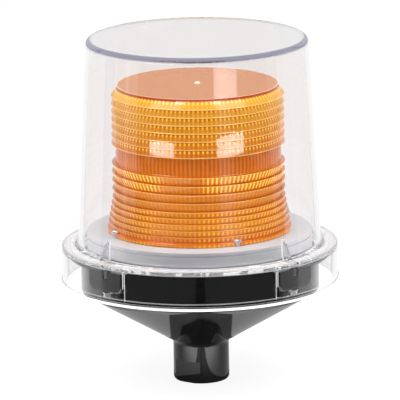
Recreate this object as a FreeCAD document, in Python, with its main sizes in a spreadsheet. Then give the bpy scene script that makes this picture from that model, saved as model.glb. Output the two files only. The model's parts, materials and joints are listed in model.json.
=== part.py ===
"""Pipe-mount rotating beacon: cast base, clear dome, ring lens, lamp and turning reflector.

Millimetres. The origin is the centre of the hub's mouth, +Z runs up the beacon's axis and
-Y is the front. Every driving dimension is a cell of the sheet "sizes".
"""
import FreeCAD, Part
import math
import os

import Sketcher
from FreeCAD import Placement, Rotation, Vector

DRIVING_SIZES = {
    # hub and pipe thread
    "hub_radius": 22.8,
    "hub_height": 33.3,
    "hub_mouth_round": 3.0,
    "pipe_bore_radius": 14.85,
    "pipe_bore_depth": 25.0,
    "wire_passage_radius": 12.0,
    "flat_depth": 3.5,
    "flat_height": 18.5,
    "flat_azimuth": -125.0,
    # cast funnel and drum
    "drum_radius": 97.5,
    "cone_height": 44.2,
    "drum_height": 32.0,
    "drum_wall": 3.5,
    "cone_wall": 4.1,
    "lip_width": 9.0,
    "lip_thickness": 2.5,
    "ledge_drop": 2.5,
    "ledge_width": 8.0,
    "ledge_thickness": 2.5,
    "shoulder_round": 3.0,
    "neck_round": 4.0,
    # four dome fixings
    "fixing_count": 4,
    "fixing_azimuth": 45.0,
    "fixing_offset": 5.5,
    "lug_reach": 10.0,
    "lug_root": 2.7,
    "lug_width": 38.0,
    "lug_height": 17.5,
    "lug_corner": 8.0,
    "lug_round": 1.8,
    "dome_screw_radius": 2.5,
    "dome_screw_engagement": 6.0,
    "dome_screw_head_radius": 4.6,
    "dome_screw_head_height": 3.4,
    "screw_clearance": 0.3,
    "washer_radius": 5.2,
    "washer_thickness": 0.8,
    "insert_wall": 1.0,
    "insert_length": 7.0,
    "boss_wall": 1.1,
    "boss_gap": 0.5,
    "boss_length": 8.2,
    # clear dome
    "gasket_thickness": 2.0,
    "gasket_width": 10.0,
    "gasket_inset": 1.0,
    "flange_thickness": 4.0,
    "dome_gap": 4.6,
    "dome_taper": 9.0,
    "dome_height": 170.0,
    "dome_wall": 3.0,
    "dome_edge_round": 4.5,
    "dome_foot_round": 3.4,
    "skirt_gap": 3.5,
    "skirt_wall": 3.0,
    "skirt_height": 32.0,
    "bead_thickness": 0.8,
    "bead_height": 3.6,
    "bead_round": 1.5,
    "flange_round": 1.8,
    "gusset_azimuth": 42.5,
    "gusset_thickness": 3.5,
    "gusset_height": 17.3,
    "gusset_reach": 8.6,
    "gusset_edge": 0.9,
    "rib_azimuth": 34.3,
    "rib_thickness": 1.6,
    "rib_depth": 2.4,
    "nameplate_thickness": 0.8,
    "nameplate_height": 24.5,
    "nameplate_gap": 0.1,
    "nameplate_angle": 64.0,
    # silver platform
    "platform_gap": 2.0,
    "platform_rise": 17.3,
    "platform_thickness": 3.0,
    "platform_wall": 3.0,
    "groove_drop": 2.3,
    "groove_height": 1.2,
    "groove_depth": 1.0,
    "seat_width": 12.0,
    "seat_inset": 3.0,
    "seat_recess": 0.4,
    "wire_hole_radius": 5.5,
    "chassis_screw_radius": 2.0,
    "chassis_screw_head_radius": 4.0,
    "chassis_screw_inset": 6.0,
    "chassis_screw_reach": 11.0,
    "screw_tip_gap": 1.0,
    "chassis_post_radius": 5.0,
    "ground_screw_x": 44.0,
    "ground_screw_y": -22.0,
    "ground_screw_radius": 2.0,
    "ground_screw_head_radius": 4.0,
    "ground_screw_head_height": 3.0,
    # amber lens
    "lens_gasket_thickness": 1.0,
    "lens_gasket_inset": 0.5,
    "lens_inner_radius": 64.0,
    "lens_wall": 3.9,
    "lens_ridge_depth": 2.9,
    "lens_flange_flare": 4.2,
    "lens_flange_thickness": 2.8,
    "lens_height": 120.1,
    "lens_top_thickness": 3.1,
    "lens_top_edge": 1.7,
    "lens_top_wall": 1.8,
    "waist_wall": 3.2,
    "waist_bulge": 0.6,
    "waist_height": 15.9,
    "ridge_land": 0.6,
    "upper_ring_count": 7,
    "upper_ring_pitch": 6.6,
    "lower_ring_count": 4,
    "lower_ring_pitch": 7.1,
    "foot_ring_count": 5,
    "foot_ridge_depth": 1.8,
    "lens_screw_azimuth": 24.0,
    "lens_screw_inset": 0.8,
    "lens_screw_radius": 1.9,
    "lens_screw_reach": 8.5,
    "lens_screw_head_radius": 3.4,
    "lens_screw_head_height": 2.4,
    "lens_notch_gap": 0.6,
    "lens_notch_height": 24.0,
    # lamp post
    "post_radius": 7.0,
    "post_wall": 2.0,
    "post_flange_width": 11.0,
    "post_flange_thickness": 3.0,
    "post_height": 23.8,
    "post_screw_count": 3,
    "post_screw_inset": 3.5,
    "post_screw_reach": 5.5,
    "clip_thickness": 0.8,
    "clip_width": 3.0,
    "clip_mouth_width": 9.3,
    "clip_groove_depth": 0.8,
    # lamp and socket
    "socket_wall": 0.9,
    "socket_fit": 0.3,
    "socket_height": 18.0,
    "socket_floor": 3.0,
    "spigot_length": 5.0,
    "spigot_fit": 0.05,
    "contact_radius": 2.6,
    "contact_lift": 1.2,
    "contact_taper": 0.6,
    "lamp_base_radius": 7.6,
    "lamp_base_length": 19.0,
    "lamp_base_chamfer": 1.4,
    "lamp_pin_radius": 1.0,
    "lamp_pin_reach": 1.5,
    "lamp_pin_height": 6.2,
    "slot_clearance": 0.3,
    "glass_radius": 13.0,
    "glass_neck_radius": 6.8,
    "glass_neck_height": 3.0,
    "glass_shoulder_height": 8.0,
    "glass_height": 32.0,
    "glass_wall": 0.8,
    "focus_height": 18.4,
    "filament_length": 7.0,
    "filament_radius": 0.7,
    "filament_wire_radius": 0.35,
    "filament_wire_root": 2.0,
    "stem_radius": 2.6,
    "stem_top_radius": 1.8,
    "stem_height": 6.0,
    # gear and bearing
    "gear_module": 1.0,
    "gear_teeth": 60,
    "pinion_teeth": 15,
    "pressure_angle": 20.0,
    "root_modules": 1.25,
    "cutter_modules": 1.4,
    "tooth_backlash": 0.24,
    "gear_spread": 0.12,
    "gear_thickness": 6.0,
    "gear_hub_wall": 4.7,
    "gear_hub_height": 4.0,
    "bushing_fit": 0.06,
    "bushing_wall": 2.2,
    "bushing_flange_width": 4.0,
    "bushing_flange_thickness": 2.0,
    "end_play": 0.3,
    # reflector and bracket
    "focal_length": 20.0,
    "reflector_radius": 45.0,
    "reflector_wall": 1.2,
    "reflector_lip": 1.6,
    "reflector_pad_radius": 11.0,
    "reflector_pad_depth": 1.6,
    "lamp_clearance": 1.6,
    "bracket_thickness": 1.5,
    "bracket_width": 18.0,
    "bracket_margin": 1.4,
    "bracket_height": 68.0,
    "bracket_hub_gap": 0.3,
    "bracket_screw_count": 3,
    "bracket_screw_offset": 5.5,
    "bracket_screw_reach": 4.5,
    "reflector_screw_spacing": 12.0,
    # gear motor
    "motor_radius": 18.0,
    "motor_height": 22.0,
    "motor_plate_thickness": 2.0,
    "motor_ear_offset": 6.0,
    "motor_ear_width": 12.0,
    "motor_boss_radius": 5.5,
    "motor_boss_height": 4.2,
    "motor_boss_gap": 0.3,
    "shaft_radius": 2.5,
    "shaft_fit": 0.05,
    "shaft_length": 25.0,
    "shaft_top_gap": 1.6,
    "pinion_thickness": 7.0,
    "pinion_hub_wall": 2.5,
    "pinion_hub_height": 2.0,
    "motor_screw_reach": 4.8,
    # terminal block and leads
    "block_width": 42.0,
    "block_depth": 16.0,
    "block_height": 13.0,
    "block_reach": 47.0,
    "block_pole_pitch": 8.0,
    "block_pole_count": 4,
    "block_wire_radius": 2.0,
    "block_well_radius": 2.6,
    "block_well_depth": 6.0,
    "block_wire_drop": 8.0,
    "block_screw_inset": 3.0,
    "block_screw_reach": 9.0,
    "clamp_gap": 0.3,
    "clamp_height": 3.0,
    "lead_radius": 1.1,
    "lead_spread": 1.9,
    "lead_entry": 2.0,
    "lead_straight": 10.0,
    "lead_sag": 8.0,
    "lead_hole_gap": 0.3,
    "lead_hole_depth": 8.0,
    "lead_hole_height": 6.0,
    "lead_hole_place": 5.0,
    # small slotted screws
    "small_screw_radius": 1.5,
    "small_screw_clearance": 0.1,
    "small_head_radius": 2.7,
    "small_head_height": 1.7,
    "head_crown": 0.5,
    "drive_slot_width": 0.9,
    "drive_slot_depth": 0.9,
}

doc = FreeCAD.newDocument("rotating_beacon")
sheet = doc.addObject("Spreadsheet::Sheet", "sizes")


class Size:
    """A value with the formula that the document binds, such as sizes.a + sizes.b."""

    def __init__(self, number, formula):
        self.number = number
        self.formula = formula

    def __add__(self, other):
        other = size_of(other)
        return Size(self.number + other.number, f"({self.formula} + {other.formula})")

    def __sub__(self, other):
        other = size_of(other)
        return Size(self.number - other.number, f"({self.formula} - {other.formula})")

    def __mul__(self, other):
        other = size_of(other)
        return Size(self.number * other.number, f"({self.formula} * {other.formula})")

    def __truediv__(self, other):
        other = size_of(other)
        return Size(self.number / other.number, f"({self.formula} / {other.formula})")

    def __neg__(self):
        return Size(-self.number, f"(-1 * {self.formula})")


def size_of(value):
    """The value itself if it is a Size, or a plain number as a constant one."""
    if isinstance(value, Size):
        return value
    return Size(float(value), repr(float(value)))


def tangent(degrees):
    """The tangent of an angle in degrees."""
    return Size(math.tan(math.radians(degrees.number)), f"tan({degrees.formula} * 1deg)")


def fill_sheet():
    """Write every driving size into the sheet and return them by name."""
    sizes = {}
    for row, (name, number) in enumerate(DRIVING_SIZES.items(), start=1):
        sheet.set(f"A{row}", name)
        sheet.set(f"B{row}", str(number))
        sheet.setAlias(f"B{row}", name)
        sizes[name] = Size(float(number), f"sizes.{name}")
    doc.recompute()
    return sizes


S = fill_sheet()
ZERO = Size(0.0, "0")
OVERCUT = 1  # how far a cutter runs past the piece it cuts

# Heights and radii that several pieces share, from the hub's mouth upwards.
cone_slope = S["cone_height"] / (S["drum_radius"] - S["hub_radius"])
drum_foot_z = S["hub_height"] + S["cone_height"]
rim_z = drum_foot_z + S["drum_height"]
ledge_z = rim_z - S["ledge_drop"]
drum_inner_radius = S["drum_radius"] - S["drum_wall"]
lip_radius = S["drum_radius"] + S["lip_width"]
fixing_circle = S["drum_radius"] + S["fixing_offset"]
lug_foot_z = rim_z - S["lug_height"]
insert_radius = S["dome_screw_radius"] + S["insert_wall"]
boss_radius = insert_radius + S["boss_wall"]
notch_radius = boss_radius + S["boss_gap"]
flange_foot_z = rim_z + S["gasket_thickness"]
flange_top_z = flange_foot_z + S["flange_thickness"]
boss_foot_z = flange_foot_z - S["boss_length"]
notch_floor_z = boss_foot_z - S["boss_gap"]
platform_radius = drum_inner_radius - S["platform_gap"]
platform_z = rim_z + S["platform_rise"]
platform_foot_z = platform_z - S["platform_thickness"]
dome_opening_radius = platform_radius + S["dome_gap"]
dome_foot_radius = dome_opening_radius + S["dome_wall"]
dome_top_radius = dome_foot_radius - S["dome_taper"]
dome_top_z = flange_top_z + S["dome_height"]
skirt_inner_radius = lip_radius + S["skirt_gap"]
skirt_radius = skirt_inner_radius + S["skirt_wall"]
skirt_foot_z = flange_top_z - S["skirt_height"]

# Lens.
lens_valley_radius = S["lens_inner_radius"] + S["lens_wall"]
lens_ridge_radius = lens_valley_radius + S["lens_ridge_depth"]
lens_flange_radius = lens_ridge_radius + S["lens_flange_flare"]
lens_screw_circle = lens_flange_radius - S["lens_screw_inset"]
seat_outer_radius = lens_flange_radius - S["seat_inset"]
seat_inner_radius = seat_outer_radius - S["seat_width"]
chassis_screw_circle = seat_inner_radius - S["chassis_screw_inset"]
seat_z = platform_z - S["seat_recess"]
lens_foot_z = seat_z + S["lens_gasket_thickness"]
lens_top_z = lens_foot_z + S["lens_height"]
lens_flange_z = lens_foot_z + S["lens_flange_thickness"]

# Spindle, bearing and gears.
post_bore_radius = S["post_radius"] - S["post_wall"]
post_flange_radius = S["post_radius"] + S["post_flange_width"]
post_screw_circle = post_flange_radius - S["post_screw_inset"]
post_flange_z = platform_z + S["post_flange_thickness"]
post_top_z = platform_z + S["post_height"]
bushing_foot_z = post_flange_z + S["end_play"]
bushing_bore_radius = S["post_radius"] + S["bushing_fit"]
bushing_radius = bushing_bore_radius + S["bushing_wall"]
gear_foot_z = bushing_foot_z + S["bushing_flange_thickness"]
gear_top_z = gear_foot_z + S["gear_thickness"]
gear_hub_z = gear_top_z + S["gear_hub_height"]
gear_hub_radius = bushing_radius + S["gear_hub_wall"]
gear_pitch_radius = S["gear_module"] * S["gear_teeth"] / 2
pinion_pitch_radius = S["gear_module"] * S["pinion_teeth"] / 2
gear_distance = gear_pitch_radius + pinion_pitch_radius + S["gear_spread"]
clip_foot_z = gear_hub_z + S["end_play"]
clip_top_z = clip_foot_z + S["clip_thickness"]
clip_radius = S["post_radius"] + S["clip_width"]
clip_groove_radius = S["post_radius"] - S["clip_groove_depth"]
shaft_top_z = gear_foot_z + S["pinion_thickness"] + S["shaft_top_gap"]
shaft_foot_z = shaft_top_z - S["shaft_length"]

# Lamp, reflector and bracket.
socket_floor_z = post_top_z + S["socket_floor"]
socket_inner_radius = S["lamp_base_radius"] + S["socket_fit"]
socket_radius = socket_inner_radius + S["socket_wall"]
lamp_foot_z = socket_floor_z + S["contact_lift"]
lamp_pin_z = lamp_foot_z + S["lamp_pin_height"]
glass_foot_z = lamp_foot_z + S["lamp_base_length"]
focus_z = glass_foot_z + S["focus_height"]
bracket_top_z = gear_top_z + S["bracket_thickness"]
bracket_screw_circle = gear_hub_radius + S["bracket_screw_offset"]
reflector_back_y = S["focal_length"] + S["reflector_pad_depth"]
strap_back_y = reflector_back_y + S["bracket_thickness"]
bracket_radius = strap_back_y + S["bracket_margin"]

# Motor and terminal block.
motor_ear_place = S["motor_radius"] + S["motor_ear_offset"]
block_y = -S["block_reach"]
block_foot_z = platform_foot_z - S["block_height"]
block_wire_z = platform_foot_z - S["block_wire_drop"]
block_screw_place = S["block_width"] / 2 - S["block_screw_inset"]
motor_foot_z = platform_foot_z - S["motor_height"]
motor_lead_z = motor_foot_z + S["lead_hole_height"]
motor_lead_floor_y = gear_distance - S["motor_radius"] + S["lead_hole_depth"]


# ---------------------------------------------------------------- drawing helpers

def bind(thing, property_name, value):
    """Tie a property to a size's formula."""
    value = size_of(value)
    thing.setExpression(property_name, value.formula)


def new_body(label):
    """An empty part-design body whose label names its file."""
    body = doc.addObject("PartDesign::Body", label)
    body.Label = label
    return body


def origin_feature(body, role):
    """The body's own origin plane or axis of that role."""
    return next(feature for feature in body.Origin.OriginFeatures if feature.Role == role)


def new_sketch(body, name, plane="XZ_Plane", height=None, azimuth=None):
    """A sketch on the body's own plane, lifted by a height and turned about the Z axis."""
    sketch = body.newObject("Sketcher::SketchObject", name)
    sketch.AttachmentSupport = [(origin_feature(body, plane), "")]
    sketch.MapMode = "FlatFace"
    if azimuth is not None:
        turn_axis = Vector(0, 0, 1) if plane == "XY_Plane" else Vector(0, 1, 0)
        sketch.AttachmentOffset = Placement(Vector(), Rotation(turn_axis, size_of(azimuth).number))
        bind(sketch, "AttachmentOffset.Rotation.Angle", azimuth)
    if height is not None:
        bind(sketch, "AttachmentOffset.Base.z", height)
    return sketch


def pin(sketch, geometry, point, across, up):
    """Place one point of the sketch's geometry by two formulas."""
    for kind, value, axis in (("DistanceX", across, -2), ("DistanceY", up, -1)):
        value = size_of(value)
        if value is ZERO or value.number == 0.0 and value.formula in ("0", "0.0"):
            sketch.addConstraint(Sketcher.Constraint("PointOnObject", geometry, point, axis))
            continue
        place = Sketcher.Constraint(kind, -1, 1, geometry, point, value.number)
        index = sketch.addConstraint(place)
        sketch.setExpression(f"Constraints[{index}]", value.formula)


def draw_outline(sketch, corners):
    """A closed outline of straight lines through the corners."""
    corners = [(size_of(across), size_of(up)) for across, up in corners]
    points = [Vector(across.number, up.number, 0) for across, up in corners]
    lines = [Part.LineSegment(start, end) for start, end in zip(points, points[1:] + points[:1])]
    first = sketch.GeometryCount
    sketch.addGeometry(lines, False)
    count = len(corners)
    for index in range(count):
        following = (index + 1) % count
        join = Sketcher.Constraint("Coincident", first + index, 2, first + following, 1)
        sketch.addConstraint(join)
    for index, (across, up) in enumerate(corners):
        pin(sketch, first + index, 1, across, up)


def draw_circle(sketch, across, up, radius):
    """A circle with its centre and radius bound."""
    centre = Vector(size_of(across).number, size_of(up).number, 0)
    circle = sketch.addGeometry(Part.Circle(centre, Vector(0, 0, 1), radius.number), False)
    pin(sketch, circle, 3, across, up)
    index = sketch.addConstraint(Sketcher.Constraint("Radius", circle, radius.number))
    sketch.setExpression(f"Constraints[{index}]", radius.formula)


def turn_outline(body, name, corners, kind="PartDesign::Revolution", axis_across=None):
    """Turn an outline of the XZ plane about Z, or about the upright line at axis_across."""
    sketch = new_sketch(body, f"{name}_outline")
    draw_outline(sketch, corners)
    axis = (sketch, ["V_Axis"])
    if axis_across is not None:
        reach = size_of(axis_across).number
        line = sketch.addGeometry(Part.LineSegment(Vector(reach, 0, 0), Vector(reach, 1, 0)), True)
        pin(sketch, line, 1, axis_across, ZERO)
        pin(sketch, line, 2, axis_across, 1)
        axis = (sketch, ["Axis0"])
    feature = body.newObject(kind, name)
    feature.Profile = sketch
    feature.ReferenceAxis = axis
    feature.Angle = 360
    return feature


def pad(body, name, sketch, length):
    """Pad a sketch along its normal."""
    feature = body.newObject("PartDesign::Pad", name)
    feature.Profile = sketch
    bind(feature, "Length", length)
    return feature


def pocket(body, name, sketch, length):
    """Pocket a sketch against its normal, down from the sketch."""
    feature = body.newObject("PartDesign::Pocket", name)
    feature.Profile = sketch
    bind(feature, "Length", length)
    return feature


def pad_circle(body, name, across, up, radius, bottom, top):
    """An upright round boss between two heights."""
    sketch = new_sketch(body, f"{name}_circle", "XY_Plane", bottom)
    draw_circle(sketch, across, up, radius)
    return pad(body, name, sketch, top - bottom)


def cut_circle(body, name, across, up, radius, bottom, top, azimuth=None):
    """An upright round hole between two heights."""
    sketch = new_sketch(body, f"{name}_circle", "XY_Plane", top, azimuth)
    draw_circle(sketch, across, up, radius)
    return pocket(body, name, sketch, top - bottom)


def cut_box(body, name, left, right, front, back, bottom, top, azimuth=None):
    """A rectangular cut between two heights."""
    sketch = new_sketch(body, f"{name}_rectangle", "XY_Plane", top, azimuth)
    draw_outline(sketch, [(left, front), (right, front), (right, back), (left, back)])
    return pocket(body, name, sketch, top - bottom)


def repeat_around(body, name, features, count):
    """Repeat features about the body's Z axis and make the pattern the body's tip."""
    pattern = body.newObject("PartDesign::PolarPattern", name)
    pattern.Originals = features
    pattern.Axis = (origin_feature(body, "Z_Axis"), [""])
    pattern.Angle = 360
    bind(pattern, "Occurrences", count)
    body.Tip = pattern
    return pattern


def round_edges(body, name, radius, chosen, kind="PartDesign::Fillet"):
    """Fillet or chamfer the body's edges that the test picks."""
    doc.recompute()
    base = body.Tip
    names = [f"Edge{number}" for number, edge in enumerate(base.Shape.Edges, start=1) if chosen(edge)]
    feature = body.newObject(kind, name)
    feature.Base = (base, names)
    bind(feature, "Radius" if kind == "PartDesign::Fillet" else "Size", radius)
    return feature


def is_ring(edge, radius, height):
    """True for a full circle about the Z axis with that radius and height."""
    box = edge.BoundBox
    level = abs(box.ZMin - height.number) < 0.01 and abs(box.ZMax - height.number) < 0.01
    return level and abs(box.XLength / 2 - radius.number) < 0.01 and abs(box.Center.x) < 0.01


def rings(*places):
    """A test for the circles about Z at the given (radius, height) places."""
    return lambda edge: any(is_ring(edge, radius, height) for radius, height in places)


def turn_body(body, azimuth):
    """Turn a whole body about Z by a bound angle."""
    body.Placement = Placement(Vector(), Rotation(Vector(0, 0, 1), azimuth.number))
    bind(body, "Placement.Rotation.Angle", azimuth)


def move_body(body, across, along, up=ZERO):
    """Move a whole body by bound distances."""
    body.Placement = Placement(Vector(across.number, along.number, up.number), Rotation())
    bind(body, "Placement.Base.x", across)
    bind(body, "Placement.Base.y", along)
    bind(body, "Placement.Base.z", up)


# ---------------------------------------------------------------- base and dome

def base_housing():
    """Cast funnel with hub, drum, rim lip, inner ledge, screw lugs and chassis posts."""
    body = new_body("base_housing")
    bowl_rim_z = drum_foot_z + S["cone_wall"] - S["drum_wall"] * cone_slope
    passage_depth = (S["hub_radius"] - S["wire_passage_radius"]) * cone_slope
    bowl_foot_z = S["hub_height"] + S["cone_wall"] - passage_depth
    lip_foot_z = rim_z - S["lip_thickness"]
    ledge_foot_z = ledge_z - S["ledge_thickness"]
    turn_outline(body, "funnel", [
        (S["pipe_bore_radius"], ZERO),
        (S["hub_radius"], ZERO),
        (S["hub_radius"], S["hub_height"]),
        (S["drum_radius"], drum_foot_z),
        (S["drum_radius"], lip_foot_z),
        (lip_radius, lip_foot_z),
        (lip_radius, rim_z),
        (drum_inner_radius, rim_z),
        (drum_inner_radius, ledge_z),
        (drum_inner_radius - S["ledge_width"], ledge_z),
        (drum_inner_radius - S["ledge_width"], ledge_foot_z),
        (drum_inner_radius, ledge_foot_z - S["ledge_width"]),
        (drum_inner_radius, bowl_rim_z),
        (S["wire_passage_radius"], bowl_foot_z),
        (S["wire_passage_radius"], S["pipe_bore_depth"]),
        (S["pipe_bore_radius"], S["pipe_bore_depth"]),
    ])
    round_edges(body, "shoulder_round", S["shoulder_round"], rings((S["drum_radius"], drum_foot_z)))
    round_edges(body, "neck_round", S["neck_round"], rings((S["hub_radius"], S["hub_height"])))
    round_edges(body, "mouth_round", S["hub_mouth_round"], rings((S["hub_radius"], ZERO)))
    add_dome_lugs(body)
    add_chassis_posts(body)
    flat_far = S["hub_radius"] + OVERCUT
    flat = cut_box(body, "wrench_flat", S["hub_radius"] - S["flat_depth"], flat_far, -flat_far, flat_far,
                   ZERO, S["flat_height"], S["flat_azimuth"] - S["fixing_azimuth"])
    repeat_around(body, "wrench_flats", [flat], 2)
    turn_body(body, S["fixing_azimuth"])
    return body


def add_dome_lugs(body):
    """Wide lugs outside the drum that the dome's captive screws pass up through."""
    half = S["lug_width"] / 2
    lug_far = S["drum_radius"] + S["lug_reach"]
    sketch = new_sketch(body, "lug_outline", "YZ_Plane", S["drum_radius"] - S["lug_root"])
    draw_outline(sketch, [(-half, lug_foot_z), (half, lug_foot_z), (half, rim_z), (-half, rim_z)])
    lug = pad(body, "lug", sketch, S["lug_reach"] + S["lug_root"])
    repeat_around(body, "lugs", [lug], S["fixing_count"])
    round_edges(body, "lug_corner", S["lug_corner"], lambda edge: is_lug_corner(edge, half))
    round_edges(body, "lug_round", S["lug_round"], lambda edge: is_on_lug_face(edge, lug_far))
    hole = cut_circle(body, "lug_hole", fixing_circle, ZERO, S["dome_screw_radius"] + S["screw_clearance"],
                      lug_foot_z, notch_floor_z)
    notch = cut_circle(body, "lug_notch", fixing_circle, ZERO, notch_radius, notch_floor_z, rim_z)
    repeat_around(body, "lug_holes", [hole, notch], S["fixing_count"])


def is_lug_corner(edge, half):
    """True for an edge that runs outward along one of a lug's lower corners."""
    box = edge.BoundBox
    across = box.YLength < 0.01 and abs(abs(box.Center.y) - half.number) < 0.01
    along = box.XLength < 0.01 and abs(abs(box.Center.x) - half.number) < 0.01
    return (across or along) and box.ZMax < lug_foot_z.number + 0.01


def is_on_lug_face(edge, lug_far):
    """True for an edge that bounds a lug's outer face below its top."""
    box = edge.BoundBox
    across = box.XLength < 0.01 and abs(abs(box.Center.x) - lug_far.number) < 0.01
    along = box.YLength < 0.01 and abs(abs(box.Center.y) - lug_far.number) < 0.01
    return (across or along) and box.ZMin < rim_z.number - 0.01


def add_chassis_posts(body):
    """Posts that rise from the bowl's wall to the platform, each with a blind screw hole."""
    circle = chassis_screw_circle
    inner_foot_z = S["hub_height"] + (circle - S["chassis_post_radius"] - S["hub_radius"]) * cone_slope
    post = pad_circle(body, "chassis_post", circle, ZERO, S["chassis_post_radius"],
                      inner_foot_z, platform_foot_z)
    trim_x = circle + S["chassis_post_radius"] + OVERCUT
    trim = turn_outline(body, "post_trim", [
        (S["hub_radius"] + S["neck_round"], S["hub_height"] + S["neck_round"] * cone_slope),
        (trim_x, S["hub_height"] + (trim_x - S["hub_radius"]) * cone_slope),
        (trim_x, S["hub_height"] + S["neck_round"] * cone_slope),
    ], kind="PartDesign::Groove")
    hole = cut_circle(body, "post_hole", circle, ZERO, S["chassis_screw_radius"],
                      platform_foot_z - S["chassis_screw_reach"], platform_foot_z)
    repeat_around(body, "chassis_posts", [post, trim, hole], S["fixing_count"])


def dome_gasket():
    """Flat ring between the base's rim and the dome's flange, notched around the bosses."""
    body = new_body("dome_gasket")
    outer = lip_radius - S["gasket_inset"]
    inner = outer - S["gasket_width"]
    turn_outline(body, "ring", [
        (inner, rim_z),
        (outer, rim_z),
        (outer, flange_foot_z),
        (inner, flange_foot_z),
    ])
    notch = cut_circle(body, "notch", fixing_circle, ZERO, notch_radius, rim_z, flange_foot_z)
    repeat_around(body, "notches", [notch], S["fixing_count"])
    turn_body(body, S["fixing_azimuth"])
    return body


def outer_dome():
    """Clear dome with flange, skirt, gussets, insert bosses and the two nameplate ribs."""
    body = new_body("outer_dome")
    bead_top_z = skirt_foot_z + S["bead_height"]
    bead_radius = skirt_radius + S["bead_thickness"]
    top_inner_z = dome_top_z - S["dome_wall"]
    top_inner_radius = dome_top_radius - S["dome_wall"]
    turn_outline(body, "shell", [
        (ZERO, dome_top_z),
        (dome_top_radius, dome_top_z),
        (dome_foot_radius, flange_top_z),
        (skirt_radius, flange_top_z),
        (skirt_radius, bead_top_z),
        (bead_radius, bead_top_z),
        (bead_radius, skirt_foot_z),
        (skirt_inner_radius, skirt_foot_z),
        (skirt_inner_radius, flange_foot_z),
        (dome_opening_radius, flange_foot_z),
        (top_inner_radius, top_inner_z),
        (ZERO, top_inner_z),
    ])
    round_edges(body, "top_round", S["dome_edge_round"], rings((dome_top_radius, dome_top_z)))
    round_edges(body, "top_inner_round", S["dome_edge_round"] - S["dome_wall"] / 2,
                rings((top_inner_radius, top_inner_z)))
    round_edges(body, "foot_round", S["dome_foot_round"], rings((dome_foot_radius, flange_top_z)))
    round_edges(body, "flange_round", S["flange_round"], rings((skirt_radius, flange_top_z)))
    round_edges(body, "bead_round", S["bead_round"],
                rings((bead_radius, skirt_foot_z), (skirt_inner_radius, skirt_foot_z)))
    add_gussets(body)
    add_bosses(body)
    add_nameplate_ribs(body, bead_top_z)
    turn_body(body, S["fixing_azimuth"])
    return body


def add_gussets(body):
    """Triangular webs between the dome's wall and the top of its flange."""
    wall_lean = S["dome_taper"] / S["dome_height"]
    gusset_top_z = flange_top_z + S["gusset_height"]
    wall_middle = dome_foot_radius - S["dome_wall"] / 2
    reach = dome_foot_radius + S["gusset_reach"]
    edge = S["gusset_edge"]
    sketch = new_sketch(body, "gusset_outline", "XZ_Plane", None, S["gusset_azimuth"] - S["fixing_azimuth"])
    draw_outline(sketch, [
        (wall_middle, flange_top_z - edge),
        (reach, flange_top_z - edge),
        (reach, flange_top_z + edge),
        (dome_foot_radius - wall_lean * S["gusset_height"] + edge, gusset_top_z),
        (wall_middle - wall_lean * S["gusset_height"], gusset_top_z),
    ])
    gusset = pad(body, "gusset", sketch, S["gusset_thickness"])
    gusset.Midplane = True
    repeat_around(body, "gussets", [gusset], S["fixing_count"])


def add_bosses(body):
    """Bosses below the flange with blind holes for the threaded inserts."""
    boss = pad_circle(body, "boss", fixing_circle, ZERO, boss_radius, boss_foot_z,
                      flange_foot_z + S["flange_thickness"] / 2)
    hole = cut_circle(body, "insert_hole", fixing_circle, ZERO, insert_radius, boss_foot_z,
                      boss_foot_z + S["insert_length"])
    repeat_around(body, "bosses", [boss, hole], S["fixing_count"])


def add_nameplate_ribs(body, bead_top_z):
    """Two upright ribs on the skirt's inner face, one at each end of the nameplate."""
    half = S["rib_thickness"] / 2
    rib_inner = skirt_inner_radius - S["rib_depth"]
    rib_outer = skirt_inner_radius + S["skirt_wall"] / 2
    for side, sign in (("left", -1), ("right", 1)):
        azimuth = S["rib_azimuth"] * sign - S["fixing_azimuth"] - 90
        sketch = new_sketch(body, f"{side}_rib_outline", "XY_Plane", bead_top_z, azimuth)
        draw_outline(sketch, [(rib_inner, -half), (rib_outer, -half), (rib_outer, half), (rib_inner, half)])
        pad(body, f"{side}_rib", sketch, flange_foot_z + S["flange_thickness"] / 2 - bead_top_z)


def nameplate_band():
    """Thin blank plate that follows the skirt's inner face at the front."""
    body = new_body("nameplate_band")
    outer = skirt_inner_radius - S["nameplate_gap"]
    inner = outer - S["nameplate_thickness"]
    top_z = flange_foot_z - S["nameplate_gap"]
    bottom_z = top_z - S["nameplate_height"]
    band = turn_outline(body, "band", [(inner, bottom_z), (outer, bottom_z), (outer, top_z), (inner, top_z)])
    band.Midplane = True
    bind(band, "Angle", S["nameplate_angle"])
    turn_body(body, size_of(-90))
    return body


def dome_inserts():
    """Threaded brass inserts in the dome's bosses."""
    body = new_body("dome_inserts")
    insert_top_z = boss_foot_z + S["insert_length"]
    insert = turn_outline(body, "insert", [
        (fixing_circle + S["dome_screw_radius"], boss_foot_z),
        (fixing_circle + insert_radius, boss_foot_z),
        (fixing_circle + insert_radius, insert_top_z),
        (fixing_circle + S["dome_screw_radius"], insert_top_z),
    ], axis_across=fixing_circle)
    repeat_around(body, "inserts", [insert], S["fixing_count"])
    turn_body(body, S["fixing_azimuth"])
    return body


def hexagon(across, radius):
    """Corners of a regular hexagon about a centre on the sketch's horizontal axis."""
    flat_half = radius * (math.sqrt(3) / 2)
    across = size_of(across)
    return [
        (across + radius, ZERO),
        (across + radius / 2, flat_half),
        (across - radius / 2, flat_half),
        (across - radius, ZERO),
        (across - radius / 2, -flat_half),
        (across + radius / 2, -flat_half),
    ]


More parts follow.
